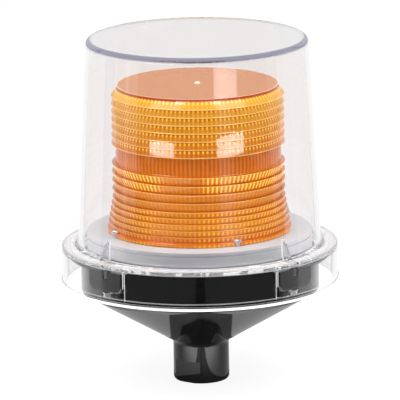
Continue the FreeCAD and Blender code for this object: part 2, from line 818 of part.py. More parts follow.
def dome_screws():
    """Captive hexagon screws that pull the dome down from below the lugs."""
    body = new_body("dome_screws")
    head_top_z = lug_foot_z - S["washer_thickness"]
    head_foot_z = head_top_z - S["dome_screw_head_height"]
    shank = pad_circle(body, "shank", fixing_circle, ZERO, S["dome_screw_radius"], head_top_z,
                       boss_foot_z + S["dome_screw_engagement"])
    sketch = new_sketch(body, "head_outline", "XY_Plane", head_foot_z)
    draw_outline(sketch, hexagon(fixing_circle, S["dome_screw_head_radius"]))
    head = pad(body, "head", sketch, S["dome_screw_head_height"])
    repeat_around(body, "screws", [shank, head], S["fixing_count"])
    turn_body(body, S["fixing_azimuth"])
    return body


def screw_washers():
    """Washers between the captive screws' heads and the lugs."""
    body = new_body("screw_washers")
    inner = fixing_circle + S["dome_screw_radius"] + S["screw_clearance"] / 2
    outer = fixing_circle + S["washer_radius"]
    foot_z = lug_foot_z - S["washer_thickness"]
    washer = turn_outline(body, "washer", [
        (inner, foot_z),
        (outer, foot_z),
        (outer, lug_foot_z),
        (inner, lug_foot_z),
    ], axis_across=fixing_circle)
    repeat_around(body, "washers", [washer], S["fixing_count"])
    turn_body(body, S["fixing_azimuth"])
    return body


# ---------------------------------------------------------------- platform and lens

def chassis_plate():
    """Silver platform: top plate, grooved rim, raised lens seat and its screw holes."""
    body = new_body("chassis_plate")
    rim_inner = platform_radius - S["platform_wall"]
    groove_top_z = platform_z - S["groove_drop"]
    groove_foot_z = groove_top_z - S["groove_height"]
    groove_radius = platform_radius - S["groove_depth"]
    turn_outline(body, "plate", [
        (S["wire_hole_radius"], platform_foot_z),
        (rim_inner, platform_foot_z),
        (rim_inner, ledge_z),
        (platform_radius, ledge_z),
        (platform_radius, groove_foot_z),
        (groove_radius, groove_foot_z),
        (groove_radius, groove_top_z),
        (platform_radius, groove_top_z),
        (platform_radius, platform_z),
        (seat_outer_radius, platform_z),
        (seat_outer_radius, seat_z),
        (seat_inner_radius, seat_z),
        (seat_inner_radius, platform_z),
        (S["wire_hole_radius"], platform_z),
    ])
    drill_plate_circle(body, "chassis_hole", chassis_screw_circle,
                       S["chassis_screw_radius"] + S["screw_clearance"], S["fixing_azimuth"],
                       S["fixing_count"])
    drill_plate_circle(body, "lens_hole", lens_screw_circle, S["lens_screw_radius"],
                       S["lens_screw_azimuth"] - 90, S["fixing_count"])
    drill_plate_circle(body, "post_hole", post_screw_circle, S["small_screw_radius"], size_of(90),
                       S["post_screw_count"])
    drill_plate(body, "motor_boss_hole", ZERO, gear_distance, S["motor_boss_radius"] + S["motor_boss_gap"])
    for side, sign in (("left", -1), ("right", 1)):
        drill_plate(body, f"{side}_motor_hole", motor_ear_place * sign, gear_distance,
                    S["small_screw_radius"])
        drill_plate(body, f"{side}_block_hole", block_screw_place * sign, block_y, S["small_screw_radius"])
    drill_plate(body, "ground_hole", S["ground_screw_x"], S["ground_screw_y"], S["ground_screw_radius"])
    return body


def drill_plate(body, name, across, along, radius, azimuth=None):
    """One hole down through the platform's top plate."""
    return cut_circle(body, name, across, along, radius, platform_foot_z, platform_z, azimuth)


def drill_plate_circle(body, name, circle, radius, azimuth, count):
    """A circle of holes down through the platform's top plate."""
    hole = drill_plate(body, name, circle, ZERO, radius, azimuth)
    repeat_around(body, f"{name}s", [hole], count)


def lens_gasket():
    """Flat ring between the platform's seat and the lens."""
    body = new_body("lens_gasket")
    inner = seat_inner_radius + S["lens_gasket_inset"]
    outer = seat_outer_radius - S["lens_gasket_inset"]
    turn_outline(body, "ring", [(inner, seat_z), (outer, seat_z), (outer, lens_foot_z), (inner, lens_foot_z)])
    return body


def foot_ring_corners(top_z):
    """Flared prism rings from the lens's flange up to a height."""
    count = int(S["foot_ring_count"].number)
    pitch = (top_z - lens_flange_z) / S["foot_ring_count"]
    flare = S["lens_flange_flare"] / S["foot_ring_count"]
    corners = []
    for ring in range(count):
        ridge = lens_ridge_radius + flare * (count - 1 - ring)
        ridge_z = lens_flange_z + pitch * (ring + 1)
        corners.append((ridge - S["foot_ridge_depth"], ridge_z - pitch))
        corners.append((ridge, ridge_z - S["ridge_land"]))
        corners.append((ridge, ridge_z))
    return corners


def lower_ring_corners(foot_z):
    """Prism rings below the waist, each with its ridge at its top."""
    corners = []
    for ring in range(int(S["lower_ring_count"].number)):
        ridge_z = foot_z + S["lower_ring_pitch"] * (ring + 1)
        corners.append((lens_valley_radius, ridge_z - S["lower_ring_pitch"]))
        corners.append((lens_ridge_radius, ridge_z - S["ridge_land"]))
        corners.append((lens_ridge_radius, ridge_z))
    return corners


def upper_ring_corners(foot_z):
    """Prism rings above the waist, each with its ridge at its foot; the last ends at the top."""
    count = int(S["upper_ring_count"].number)
    top_radius = S["lens_inner_radius"] + S["lens_top_wall"]
    corners = []
    for ring in range(count):
        ridge_z = foot_z + S["upper_ring_pitch"] * ring
        corners.append((lens_ridge_radius, ridge_z))
        corners.append((lens_ridge_radius, ridge_z + S["ridge_land"]))
        valley = top_radius if ring == count - 1 else lens_valley_radius
        corners.append((valley, ridge_z + S["upper_ring_pitch"]))
    return corners + [(top_radius, lens_top_z)]


def fresnel_lens():
    """Amber lens: a cup of outer prism rings, notched at its foot for the four screws."""
    body = new_body("fresnel_lens")
    upper_foot_z = lens_top_z - S["lens_top_edge"] - S["upper_ring_pitch"] * S["upper_ring_count"]
    waist_foot_z = upper_foot_z - S["waist_height"]
    lower_foot_z = waist_foot_z - S["lower_ring_pitch"] * S["lower_ring_count"]
    waist_radius = S["lens_inner_radius"] + S["waist_wall"]
    inner_top_z = lens_top_z - S["lens_top_thickness"]
    turn_outline(body, "rings", [
        (S["lens_inner_radius"], lens_foot_z),
        (lens_flange_radius, lens_foot_z),
        (lens_flange_radius, lens_flange_z),
        *foot_ring_corners(lower_foot_z),
        *lower_ring_corners(lower_foot_z),
        (waist_radius, waist_foot_z),
        (waist_radius + S["waist_bulge"], waist_foot_z + S["waist_height"] / 2),
        (waist_radius, upper_foot_z),
        *upper_ring_corners(upper_foot_z),
        (ZERO, lens_top_z),
        (ZERO, inner_top_z),
        (S["lens_inner_radius"], inner_top_z),
    ])
    notch = cut_circle(body, "screw_notch", lens_screw_circle, ZERO,
                       S["lens_screw_head_radius"] + S["lens_notch_gap"], lens_flange_z,
                       lens_flange_z + S["lens_notch_height"])
    slot = cut_circle(body, "screw_slot", lens_screw_circle, ZERO,
                      S["lens_screw_radius"] + S["screw_clearance"], lens_foot_z, lens_flange_z)
    repeat_around(body, "screw_notches", [notch, slot], S["fixing_count"])
    turn_body(body, S["lens_screw_azimuth"] - 90)
    return body


# ---------------------------------------------------------------- lamp and its post

def lamp_post():
    """Fixed hollow spindle with its flange, clip groove and socket bore."""
    body = new_body("lamp_post")
    turn_outline(body, "spindle", [
        (post_bore_radius, platform_z),
        (post_flange_radius, platform_z),
        (post_flange_radius, post_flange_z),
        (S["post_radius"], post_flange_z),
        (S["post_radius"], clip_foot_z),
        (clip_groove_radius, clip_foot_z),
        (clip_groove_radius, clip_top_z),
        (S["post_radius"], clip_top_z),
        (S["post_radius"], post_top_z),
        (post_bore_radius, post_top_z),
    ])
    hole = cut_circle(body, "screw_hole", post_screw_circle, ZERO,
                      S["small_screw_radius"] + S["small_screw_clearance"], platform_z, post_flange_z)
    repeat_around(body, "screw_holes", [hole], S["post_screw_count"])
    turn_body(body, size_of(90))
    return body


def retaining_clip():
    """Open spring clip in the spindle's groove, above the bearing."""
    body = new_body("retaining_clip")
    turn_outline(body, "ring", [
        (clip_groove_radius, clip_foot_z),
        (clip_radius, clip_foot_z),
        (clip_radius, clip_top_z),
        (clip_groove_radius, clip_top_z),
    ])
    mouth_half = S["clip_mouth_width"] / 2
    cut_box(body, "mouth", ZERO, clip_radius + OVERCUT, -mouth_half, mouth_half, clip_foot_z, clip_top_z)
    return body


def lamp_socket():
    """Bayonet socket: cup with two pin slots, floor and a spigot down into the spindle."""
    body = new_body("lamp_socket")
    cup_top_z = post_top_z + S["socket_height"]
    spigot_radius = post_bore_radius - S["spigot_fit"]
    spigot_foot_z = post_top_z - S["spigot_length"]
    turn_outline(body, "cup", [
        (S["contact_radius"], spigot_foot_z),
        (spigot_radius, spigot_foot_z),
        (spigot_radius, post_top_z),
        (socket_radius, post_top_z),
        (socket_radius, cup_top_z),
        (socket_inner_radius, cup_top_z),
        (socket_inner_radius, socket_floor_z),
        (S["contact_radius"], socket_floor_z),
    ])
    half = S["lamp_pin_radius"] + S["slot_clearance"]
    far = socket_radius + OVERCUT
    cut_box(body, "pin_slots", -far, far, -half, half, lamp_pin_z - half, cup_top_z)
    return body


def center_contact():
    """Brass contact in the socket's floor that the lamp's foot presses on."""
    body = new_body("center_contact")
    turn_outline(body, "button", [
        (ZERO, post_top_z),
        (S["contact_radius"], post_top_z),
        (S["contact_radius"], socket_floor_z),
        (S["contact_radius"] - S["contact_taper"], lamp_foot_z),
        (ZERO, lamp_foot_z),
    ])
    return body


def lamp_base():
    """Brass bayonet cap of the lamp with its two side pins."""
    body = new_body("lamp_base")
    chamfer = S["lamp_base_chamfer"]
    turn_outline(body, "cap", [
        (ZERO, lamp_foot_z),
        (S["lamp_base_radius"] - chamfer, lamp_foot_z),
        (S["lamp_base_radius"], lamp_foot_z + chamfer),
        (S["lamp_base_radius"], glass_foot_z),
        (ZERO, glass_foot_z),
    ])
    sketch = new_sketch(body, "pin_circle", "YZ_Plane")
    draw_circle(sketch, ZERO, lamp_pin_z, S["lamp_pin_radius"])
    pins = pad(body, "pins", sketch, (S["lamp_base_radius"] + S["lamp_pin_reach"]) * 2)
    pins.Midplane = True
    return body


def bulb_volume(label, radius, neck_radius, foot_z):
    """Solid bulb shape: neck, cone shoulder, cylinder and round crown, fused."""
    neck_z = glass_foot_z + S["glass_neck_height"]
    shoulder_z = neck_z + S["glass_shoulder_height"]
    crown_z = glass_foot_z + S["glass_height"] - S["glass_radius"]
    neck = doc.addObject("Part::Cylinder", f"{label}_neck")
    bind(neck, "Radius", neck_radius)
    bind(neck, "Height", neck_z - foot_z)
    bind(neck, "Placement.Base.z", foot_z)
    shoulder = doc.addObject("Part::Cone", f"{label}_shoulder")
    bind(shoulder, "Radius1", neck_radius)
    bind(shoulder, "Radius2", radius)
    bind(shoulder, "Height", shoulder_z - neck_z)
    bind(shoulder, "Placement.Base.z", neck_z)
    barrel = doc.addObject("Part::Cylinder", f"{label}_barrel")
    bind(barrel, "Radius", radius)
    bind(barrel, "Height", crown_z - shoulder_z)
    bind(barrel, "Placement.Base.z", shoulder_z)
    crown = doc.addObject("Part::Sphere", f"{label}_crown")
    crown.Angle1 = 0
    bind(crown, "Radius", radius)
    bind(crown, "Placement.Base.z", crown_z)
    fused = doc.addObject("Part::MultiFuse", f"{label}_volume")
    fused.Shapes = [neck, shoulder, barrel, crown]
    fused.Refine = True
    return fused


def lamp_glass():
    """Hollow glass bulb of even wall."""
    wall = S["glass_wall"]
    glass = doc.addObject("Part::Cut", "lamp_glass")
    glass.Label = "lamp_glass"
    glass.Base = bulb_volume("outer_bulb", S["glass_radius"], S["glass_neck_radius"], glass_foot_z)
    glass.Tool = bulb_volume("inner_bulb", S["glass_radius"] - wall, S["glass_neck_radius"] - wall,
                             glass_foot_z + wall)
    return glass


def lamp_filament():
    """Glass stem, two support wires and the filament coil across them at the focus."""
    body = new_body("lamp_filament")
    stem_foot_z = glass_foot_z + S["glass_wall"]
    stem_top_z = stem_foot_z + S["stem_height"]
    turn_outline(body, "stem", [
        (ZERO, stem_foot_z),
        (S["stem_radius"], stem_foot_z),
        (S["stem_top_radius"], stem_top_z),
        (ZERO, stem_top_z),
    ])
    half = S["filament_wire_radius"]
    root_x = S["stem_radius"] / 2
    end_x = S["filament_length"] / 2 - half
    root_z = stem_top_z - S["filament_wire_root"]
    sketch = new_sketch(body, "support_outline")
    for sign in (-1, 1):
        draw_outline(sketch, [
            (root_x * sign - half, root_z),
            (root_x * sign + half, root_z),
            (end_x * sign + half, focus_z),
            (end_x * sign - half, focus_z),
        ])
    supports = pad(body, "supports", sketch, half * 2)
    supports.Midplane = True
    coil_sketch = new_sketch(body, "coil_circle", "YZ_Plane")
    draw_circle(coil_sketch, ZERO, focus_z, S["filament_radius"])
    coil = pad(body, "coil", coil_sketch, S["filament_length"])
    coil.Midplane = True
    return body


# ---------------------------------------------------------------- gears and bearing

def cut_teeth(body, teeth, foot_z, top_z, azimuth):
    """Cut one tooth space with straight flanks and repeat it around the rim."""
    module = S["gear_module"]
    root_depth = module * S["root_modules"]
    far_height = module * S["cutter_modules"]
    pitch_radius = module * teeth / 2
    half_space = (module * (math.pi / 2) + S["tooth_backlash"]) / 2
    flank = tangent(S["pressure_angle"] + size_of(90) / teeth)
    root_half = half_space - root_depth * flank
    far_half = half_space + far_height * flank
    root = pitch_radius - root_depth
    far = pitch_radius + far_height
    sketch = new_sketch(body, "tooth_space_outline", "XY_Plane", top_z, azimuth)
    draw_outline(sketch, [(root, -root_half), (far, -far_half), (far, far_half), (root, root_half)])
    space = pocket(body, "tooth_space", sketch, top_z - foot_z)
    return repeat_around(body, "tooth_spaces", [space], teeth)


def driven_gear():
    """Large gear with a raised hub and three bracket screw holes."""
    body = new_body("driven_gear")
    tip_radius = gear_pitch_radius + S["gear_module"]
    turn_outline(body, "blank", [
        (bushing_radius, gear_foot_z),
        (tip_radius, gear_foot_z),
        (tip_radius, gear_top_z),
        (gear_hub_radius, gear_top_z),
        (gear_hub_radius, gear_hub_z),
        (bushing_radius, gear_hub_z),
    ])
    hole = cut_circle(body, "screw_hole", bracket_screw_circle, ZERO, S["small_screw_radius"],
                      gear_foot_z, gear_top_z, size_of(-90))
    repeat_around(body, "screw_holes", [hole], S["bracket_screw_count"])
    cut_teeth(body, S["gear_teeth"], gear_foot_z, gear_top_z, size_of(90))
    return body


def rotor_bushing():
    """Flanged plain bearing pressed into the gear's hub, running on the spindle."""
    body = new_body("rotor_bushing")
    flange_radius = S["post_radius"] + S["bushing_flange_width"]
    turn_outline(body, "bushing", [
        (bushing_bore_radius, bushing_foot_z),
        (flange_radius, bushing_foot_z),
        (flange_radius, gear_foot_z),
        (bushing_radius, gear_foot_z),
        (bushing_radius, gear_hub_z),
        (bushing_bore_radius, gear_hub_z),
    ])
    return body


def motor_shaft():
    """Output shaft of the gear motor."""
    body = new_body("motor_shaft")
    pad_circle(body, "shaft", ZERO, ZERO, S["shaft_radius"], shaft_foot_z, shaft_top_z)
    move_body(body, ZERO, gear_distance)
    return body


def drive_pinion():
    """Small gear with a lower hub, fixed on the motor shaft."""
    body = new_body("drive_pinion")
    tip_radius = pinion_pitch_radius + S["gear_module"]
    hub_radius = S["shaft_radius"] + S["pinion_hub_wall"]
    foot_z = gear_foot_z - (S["pinion_thickness"] - S["gear_thickness"]) / 2
    top_z = foot_z + S["pinion_thickness"]
    hub_foot_z = foot_z - S["pinion_hub_height"]
    turn_outline(body, "blank", [
        (S["shaft_radius"], hub_foot_z),
        (hub_radius, hub_foot_z),
        (hub_radius, foot_z),
        (tip_radius, foot_z),
        (tip_radius, top_z),
        (S["shaft_radius"], top_z),
    ])
    mesh_azimuth = size_of(-90) + size_of(180) / S["pinion_teeth"]
    cut_teeth(body, S["pinion_teeth"], foot_z, top_z, mesh_azimuth)
    move_body(body, ZERO, gear_distance)
    return body


# ---------------------------------------------------------------- reflector and bracket

def paraboloid(rim_radius, vertex_y):
    """Solid paraboloid about Y that opens towards -Y from a vertex at vertex_y."""
    focal_length = S["focal_length"].number
    depth = rim_radius ** 2 / (4 * focal_length)
    parabola = Part.Parabola()
    parabola.Focal = focal_length
    curve = Part.ArcOfParabola(parabola, 0, rim_radius).toBSpline().toShape()
    rim_point = Vector(depth, rim_radius, 0)
    rim_centre = Vector(depth, 0, 0)
    wire = Part.Wire([curve, Part.makeLine(rim_point, rim_centre), Part.makeLine(rim_centre, Vector())])
    solid = Part.Face(wire).revolve(Vector(), Vector(1, 0, 0), 360)
    solid.Placement = Placement(Vector(0, vertex_y, 0), Rotation(Vector(0, 0, 1), -90))
    return solid


def reflector():
    """Paraboloid dish around the lamp, open in front and slotted below for the lamp."""
    focal_length = S["focal_length"].number
    radius = S["reflector_radius"].number
    wall = S["reflector_wall"].number
    rim_radius = radius + wall + S["reflector_lip"].number
    pad_radius = S["reflector_pad_radius"].number
    rim_y = focal_length - radius ** 2 / (4 * focal_length)
    pad_y = focal_length - pad_radius ** 2 / (4 * focal_length)
    along = Vector(0, 1, 0)
    outer = paraboloid(rim_radius, focal_length + wall)
    inner = paraboloid(rim_radius, focal_length)
    back_pad = Part.makeCylinder(pad_radius, reflector_back_y.number - pad_y, Vector(0, pad_y, 0), along)
    rim = Part.makeCylinder(rim_radius, wall, Vector(0, rim_y, 0), along)
    dish = outer.fuse([back_pad, rim]).cut(inner)
    far = 2 * rim_radius
    behind_rim = Part.makeBox(2 * far, far, 2 * far, Vector(-far, rim_y, -far))
    dish = dish.common(behind_rim)
    lamp_way = S["glass_radius"].number + S["lamp_clearance"].number
    slot_foot = -rim_radius - OVERCUT
    slot_height = -slot_foot - lamp_way
    dish = dish.cut(Part.makeBox(2 * lamp_way, far + lamp_way, slot_height, Vector(-lamp_way, -far, slot_foot)))
    for height in (-0.5, 0.5):
        hole_foot = Vector(0, pad_y - wall, height * S["reflector_screw_spacing"].number)
        dish = dish.cut(Part.makeCylinder(S["small_screw_radius"].number, pad_radius, hole_foot, along))
    feature = doc.addObject("Part::Feature", "reflector")
    feature.Label = "reflector"
    feature.Shape = dish.removeSplitter()
    feature.Placement = Placement(Vector(0, 0, focus_z.number), Rotation())
    return feature


def reflector_bracket():
    """Bent strip: a ring screwed onto the gear and a strap up behind the reflector."""
    body = new_body("reflector_bracket")
    inner = gear_hub_radius + S["bracket_hub_gap"]
    hole_radius = S["small_screw_radius"] + S["small_screw_clearance"]
    turn_outline(body, "ring", [
        (inner, gear_top_z),
        (bracket_radius, gear_top_z),
        (bracket_radius, bracket_top_z),
        (inner, bracket_top_z),
    ])
    hole = cut_circle(body, "screw_hole", bracket_screw_circle, ZERO, hole_radius,
                      gear_top_z, bracket_top_z, size_of(-90))
    repeat_around(body, "screw_holes", [hole], S["bracket_screw_count"])
    half = S["bracket_width"] / 2
    strap = new_sketch(body, "strap_outline", "XY_Plane", gear_top_z)
    draw_outline(strap, [
        (-half, reflector_back_y),
        (half, reflector_back_y),
        (half, strap_back_y),
        (-half, strap_back_y),
    ])
    pad(body, "strap", strap, S["bracket_height"])
    holes = new_sketch(body, "strap_holes_outline")
    for height in (-0.5, 0.5):
        draw_circle(holes, ZERO, focus_z + S["reflector_screw_spacing"] * height, hole_radius)
    pocket(body, "strap_holes", holes, strap_back_y + OVERCUT)
    return body


def reflector_screws():
    """Two screws through the strap into the reflector's back pad."""
    body = new_body("reflector_screws")
    reach = S["reflector_pad_depth"] + S["bracket_thickness"]
    for name, side in (("lower", -0.5), ("upper", 0.5)):
        height = S["reflector_screw_spacing"] * side
        shank = new_sketch(body, f"{name}_shank_circle")
        draw_circle(shank, ZERO, height, S["small_screw_radius"])
        pad(body, f"{name}_shank", shank, reach)
        head = new_sketch(body, f"{name}_head_circle", "XZ_Plane", -S["small_head_height"])
        draw_circle(head, ZERO, height, S["small_head_radius"])
        pad(body, f"{name}_head", head, S["small_head_height"])
    move_body(body, ZERO, strap_back_y, focus_z)
    return body


# ---------------------------------------------------------------- motor and wiring

def drive_motor():
    """Gear motor can with two mounting ears, a bearing boss and a blind shaft bore."""
    body = new_body("drive_motor")
    ear_foot_z = platform_foot_z - S["motor_plate_thickness"]
    boss_top_z = platform_foot_z + S["motor_boss_height"]
    half = S["motor_ear_width"] / 2
    ear_reach = motor_ear_place + half
    pad_circle(body, "can", ZERO, ZERO, S["motor_radius"], motor_foot_z, platform_foot_z)
    ears = new_sketch(body, "ears_outline", "XY_Plane", ear_foot_z)
    draw_outline(ears, [
        (-ear_reach, ZERO),
        (-motor_ear_place, -half),
        (motor_ear_place, -half),
        (ear_reach, ZERO),
        (motor_ear_place, half),
        (-motor_ear_place, half),
    ])
    pad(body, "ears", ears, S["motor_plate_thickness"])
    pad_circle(body, "boss", ZERO, ZERO, S["motor_boss_radius"], platform_foot_z, boss_top_z)
    cut_circle(body, "shaft_bore", ZERO, ZERO, S["shaft_radius"] + S["shaft_fit"],
               shaft_foot_z - S["end_play"], boss_top_z)
    for side, sign in (("left", -1), ("right", 1)):
        cut_circle(body, f"{side}_ear_hole", motor_ear_place * sign, ZERO, S["small_screw_radius"],
                   ear_foot_z, platform_foot_z)
    lead_holes = new_sketch(body, "lead_holes_outline", "XZ_Plane", S["motor_radius"])
    for place in motor_lead_places():
        draw_circle(lead_holes, place, motor_lead_z, S["lead_radius"] + S["lead_hole_gap"])
    pocket(body, "lead_holes", lead_holes, S["lead_hole_depth"])
    move_body(body, ZERO, gear_distance)
    return body


def motor_lead_places():
    """Places of the two lead holes across the motor."""
    return [S["lead_hole_place"], S["lead_hole_place"] + S["block_pole_pitch"] / 2]


def pole_places():
    """Places of the terminal block's poles across its width."""
    count = int(S["block_pole_count"].number)
    return [S["block_pole_pitch"] * (index - (count - 1) / 2) for index in range(count)]


def terminal_block():
    """Moulded terminal block under the platform, with wire holes and screw wells."""
    body = new_body("terminal_block")
    half_width = S["block_width"] / 2
    half_depth = S["block_depth"] / 2
    outline = new_sketch(body, "block_outline", "XY_Plane", block_foot_z)
    draw_outline(outline, [
        (-half_width, -half_depth),
        (half_width, -half_depth),
        (half_width, half_depth),
        (-half_width, half_depth),
    ])
    pad(body, "block", outline, S["block_height"])
    wire_holes = new_sketch(body, "wire_holes_outline")
    for across in pole_places():
        draw_circle(wire_holes, across, block_wire_z, S["block_wire_radius"])
    wire_cut = pocket(body, "wire_holes", wire_holes, S["block_depth"] + OVERCUT)
    wire_cut.Midplane = True
    for number, across in enumerate(pole_places(), start=1):
        cut_circle(body, f"well_{number}", across, ZERO, S["block_well_radius"], block_foot_z,
                   block_foot_z + S["block_well_depth"])
    for side, sign in (("left", -1), ("right", 1)):
        cut_circle(body, f"{side}_screw_hole", block_screw_place * sign, ZERO, S["small_screw_radius"],
                   block_foot_z, platform_foot_z)
    move_body(body, ZERO, block_y)
    return body


def terminal_clamps():
    """Brass clamp screws in the block's wells, up against the wires."""
    body = new_body("terminal_clamps")
    radius = S["block_well_radius"] - S["clamp_gap"]
    top_z = block_wire_z - S["lead_radius"]
    foot_z = top_z - S["clamp_height"]
    half = S["drive_slot_width"] / 2
    far = radius + OVERCUT
    for number, across in enumerate(pole_places(), start=1):
        pad_circle(body, f"clamp_{number}", across, ZERO, radius, foot_z, top_z)
        cut_box(body, f"slot_{number}", across - far, across + far, -half, half,
                foot_z, foot_z + S["drive_slot_depth"])
    move_body(body, ZERO, block_y)
    return body


def ground_screw():
    """Green hexagon screw in the platform's underside for the earth wire."""
    body = new_body("ground_screw")
    head_foot_z = platform_foot_z - S["ground_screw_head_height"]
    pad_circle(body, "shank", ZERO, ZERO, S["ground_screw_radius"], platform_foot_z, platform_z)
    sketch = new_sketch(body, "head_outline", "XY_Plane", head_foot_z)
    draw_outline(sketch, hexagon(ZERO, S["ground_screw_head_radius"]))
    pad(body, "head", sketch, S["ground_screw_head_height"])
    move_body(body, S["ground_screw_x"], S["ground_screw_y"])
    return body


TANGENT_SHARE = 0.45  # the part of a lead's shorter run that its arc takes up


def lead_solid(points):
    """Round wire along straight runs that are joined by arcs as large as the runs allow."""
    corners = [Vector(*point) for point in points]
    edges = []
    start = corners[0]
    for before, corner, after in zip(corners, corners[1:], corners[2:]):
        back = (before - corner).normalize()
        ahead = (after - corner).normalize()
        half_turn = (math.pi - back.getAngle(ahead)) / 2
        tangent_length = TANGENT_SHARE * min((before - corner).Length, (after - corner).Length)
        radius = tangent_length / math.tan(half_turn)
        arc_start = corner + back * tangent_length
        arc_end = corner + ahead * tangent_length
        middle = corner + (back + ahead).normalize() * (radius / math.cos(half_turn) - radius)
        edges.append(Part.LineSegment(start, arc_start).toShape())
        edges.append(Part.Arc(arc_start, middle, arc_end).toShape())
        print(f"lead arc radius {radius:.1f}")
        start = arc_end
    edges.append(Part.LineSegment(start, corners[-1]).toShape())
    path = Part.Wire(edges)
    radius = S["lead_radius"].number
    section = Part.Wire(Part.makeCircle(radius, corners[0], corners[1] - corners[0]))
    solid = path.makePipeShell([section], True, False)
    print(f"lead volume ratio {solid.Volume / (math.pi * radius ** 2 * path.Length):.4f}")
    return solid


def leads(label, routes):
    """The wires of one circuit as separate solids in one feature."""
    feature = doc.addObject("Part::Feature", label)
    feature.Label = label
    feature.Shape = Part.makeCompound([lead_solid(route) for route in routes])
    return feature


def block_entry(pole):
    """Where a lead enters the terminal block at one pole."""
    block_face_y = block_y.number + S["block_depth"].number / 2
    return (pole_places()[pole].number, block_face_y - S["lead_entry"].number, block_wire_z.number)


def lamp_leads():
    """Two leads from the terminal block, under the platform and up the hollow spindle."""
    end_z = post_top_z.number - S["spigot_length"].number
    straight = S["lead_straight"].number
    sag = S["lead_sag"].number
    routes = []
    for pole, sign in ((0, -1), (1, 1)):
        across, along, level = block_entry(pole)
        rise = S["lead_spread"].number * sign
        routes.append([
            (across, along, level),
            (across, along + straight, level),
            (across - sign * straight / 4, along / 3, level - sag),
            (rise, 0, level - sag),
            (rise, 0, end_z),
        ])
    return leads("lamp_leads", routes)


def motor_leads():
    """Two leads from holes in the motor's side to the terminal block."""
    straight = S["lead_straight"].number
    sag = S["lead_sag"].number
    entry_level = motor_lead_z.number
    routes = []
    for pole, place in zip((2, 3), motor_lead_places()):
        across, along, level = block_entry(pole)
        routes.append([
            (place.number, motor_lead_floor_y.number, entry_level),
            (place.number, 0, entry_level),
            (across, along + 2 * straight, entry_level - sag / 2),
            (across, along + straight, level),
            (across, along, level),
        ])
    return leads("motor_leads", routes)


# ---------------------------------------------------------------- slotted screws

def screws_at(label, places, reach, seat):
    """Small slotted screws driven down onto a seat height, one solid for each place."""
    body = new_body(label)
    radius = S["small_screw_radius"]
    head_radius = S["small_head_radius"]
    head_top = seat + S["small_head_height"]
    half = S["drive_slot_width"] / 2
    for number, (across, along) in enumerate(places, start=1):
        pad_circle(body, f"shank_{number}", across, along, radius, seat - reach, seat)
        pad_circle(body, f"head_{number}", across, along, head_radius, seat, head_top)
        cut_box(body, f"slot_{number}", across - head_radius - OVERCUT, across + head_radius + OVERCUT,
                along - half, along + half, head_top - S["drive_slot_depth"], head_top)
    return body


def screws_around(label, count, circle, radius, reach, seat, head_radius, head_height, azimuth):
    """Slotted screws on a circle about Z, driven down onto a seat height."""
    body = new_body(label)
    head_top = seat + head_height
    crown = S["head_crown"]
    screw = turn_outline(body, "screw", [
        (circle, seat - reach),
        (circle + radius, seat - reach),
        (circle + radius, seat),
        (circle + head_radius, seat),
        (circle + head_radius, head_top - crown),
        (circle + head_radius - crown, head_top),
        (circle, head_top),
    ], axis_across=circle)
    half = S["drive_slot_width"] / 2
    slot = cut_box(body, "slot", circle - head_radius - OVERCUT, circle + head_radius + OVERCUT, -half, half,
                   head_top - S["drive_slot_depth"], head_top)
    repeat_around(body, "screws", [screw, slot], count)
    turn_body(body, azimuth)
    return body


def small_screws_around(label, count, circle, reach, seat, azimuth):
    """Small slotted screws on a circle about Z."""
    return screws_around(label, count, circle, S["small_screw_radius"], reach, seat,
                         S["small_head_radius"], S["small_head_height"], azimuth)


def build_screws():
    """Every group of slotted screws."""
    chassis_reach = S["chassis_screw_reach"] + S["platform_thickness"] - S["screw_tip_gap"]
    motor_places = [(motor_ear_place * sign, gear_distance) for sign in (-1, 1)]
    block_places = [(block_screw_place * sign, block_y) for sign in (-1, 1)]
    return [
        screws_around("chassis_screws", S["fixing_count"], chassis_screw_circle,
                      S["chassis_screw_radius"], chassis_reach, platform_z,
                      S["chassis_screw_head_radius"], S["small_head_height"], S["fixing_azimuth"]),
        screws_around("lens_screws", S["fixing_count"], lens_screw_circle, S["lens_screw_radius"],
                      S["lens_screw_reach"], lens_flange_z, S["lens_screw_head_radius"],
                      S["lens_screw_head_height"], S["lens_screw_azimuth"] - 90),
        small_screws_around("post_screws", S["post_screw_count"], post_screw_circle,
                            S["post_screw_reach"], post_flange_z, size_of(90)),
        small_screws_around("bracket_screws", S["bracket_screw_count"], bracket_screw_circle,
                            S["bracket_screw_reach"], bracket_top_z, size_of(-90)),
        screws_at("motor_screws", motor_places, S["motor_screw_reach"], platform_z),
        screws_at("block_screws", block_places, S["block_screw_reach"], platform_z),
    ]


# ---------------------------------------------------------------- the whole beacon

def build():
    """Build every piece and return those that are exported."""
    return [
        base_housing(),
        dome_gasket(),
        outer_dome(),
        dome_inserts(),
        nameplate_band(),
        dome_screws(),
        screw_washers(),
        chassis_plate(),
        lens_gasket(),
        fresnel_lens(),
        lamp_post(),
        retaining_clip(),
        lamp_socket(),
        center_contact(),
        lamp_base(),
        lamp_glass(),
        lamp_filament(),
        driven_gear(),
        rotor_bushing(),
        reflector_bracket(),
        reflector(),
        reflector_screws(),
        drive_motor(),
        motor_shaft(),
        drive_pinion(),
        terminal_block(),
        terminal_clamps(),
        ground_screw(),
        lamp_leads(),
        motor_leads(),
        *build_screws(),
    ]


def check(parts):
    """Stop with a message if anything in the document failed."""
    for thing in doc.Objects:
        if "Invalid" in thing.State or "Error" in thing.State:
            raise RuntimeError(f"{thing.Label} is {thing.State}")
    for part in parts:
        if part.Shape.isNull() or not part.Shape.isValid():
            raise RuntimeError(f"{part.Label} has no valid shape")


def export(parts):
    """Write each sub-part's shape to parts/LABEL.step."""
    os.makedirs("parts", exist_ok=True)
    for part in parts:
        part.Shape.exportStep(f"parts/{part.Label}.step")
        print(part.Label, len(part.Shape.Solids), round(part.Shape.Volume, 1))


pieces = build()
doc.recompute()
check(pieces)
export(pieces)
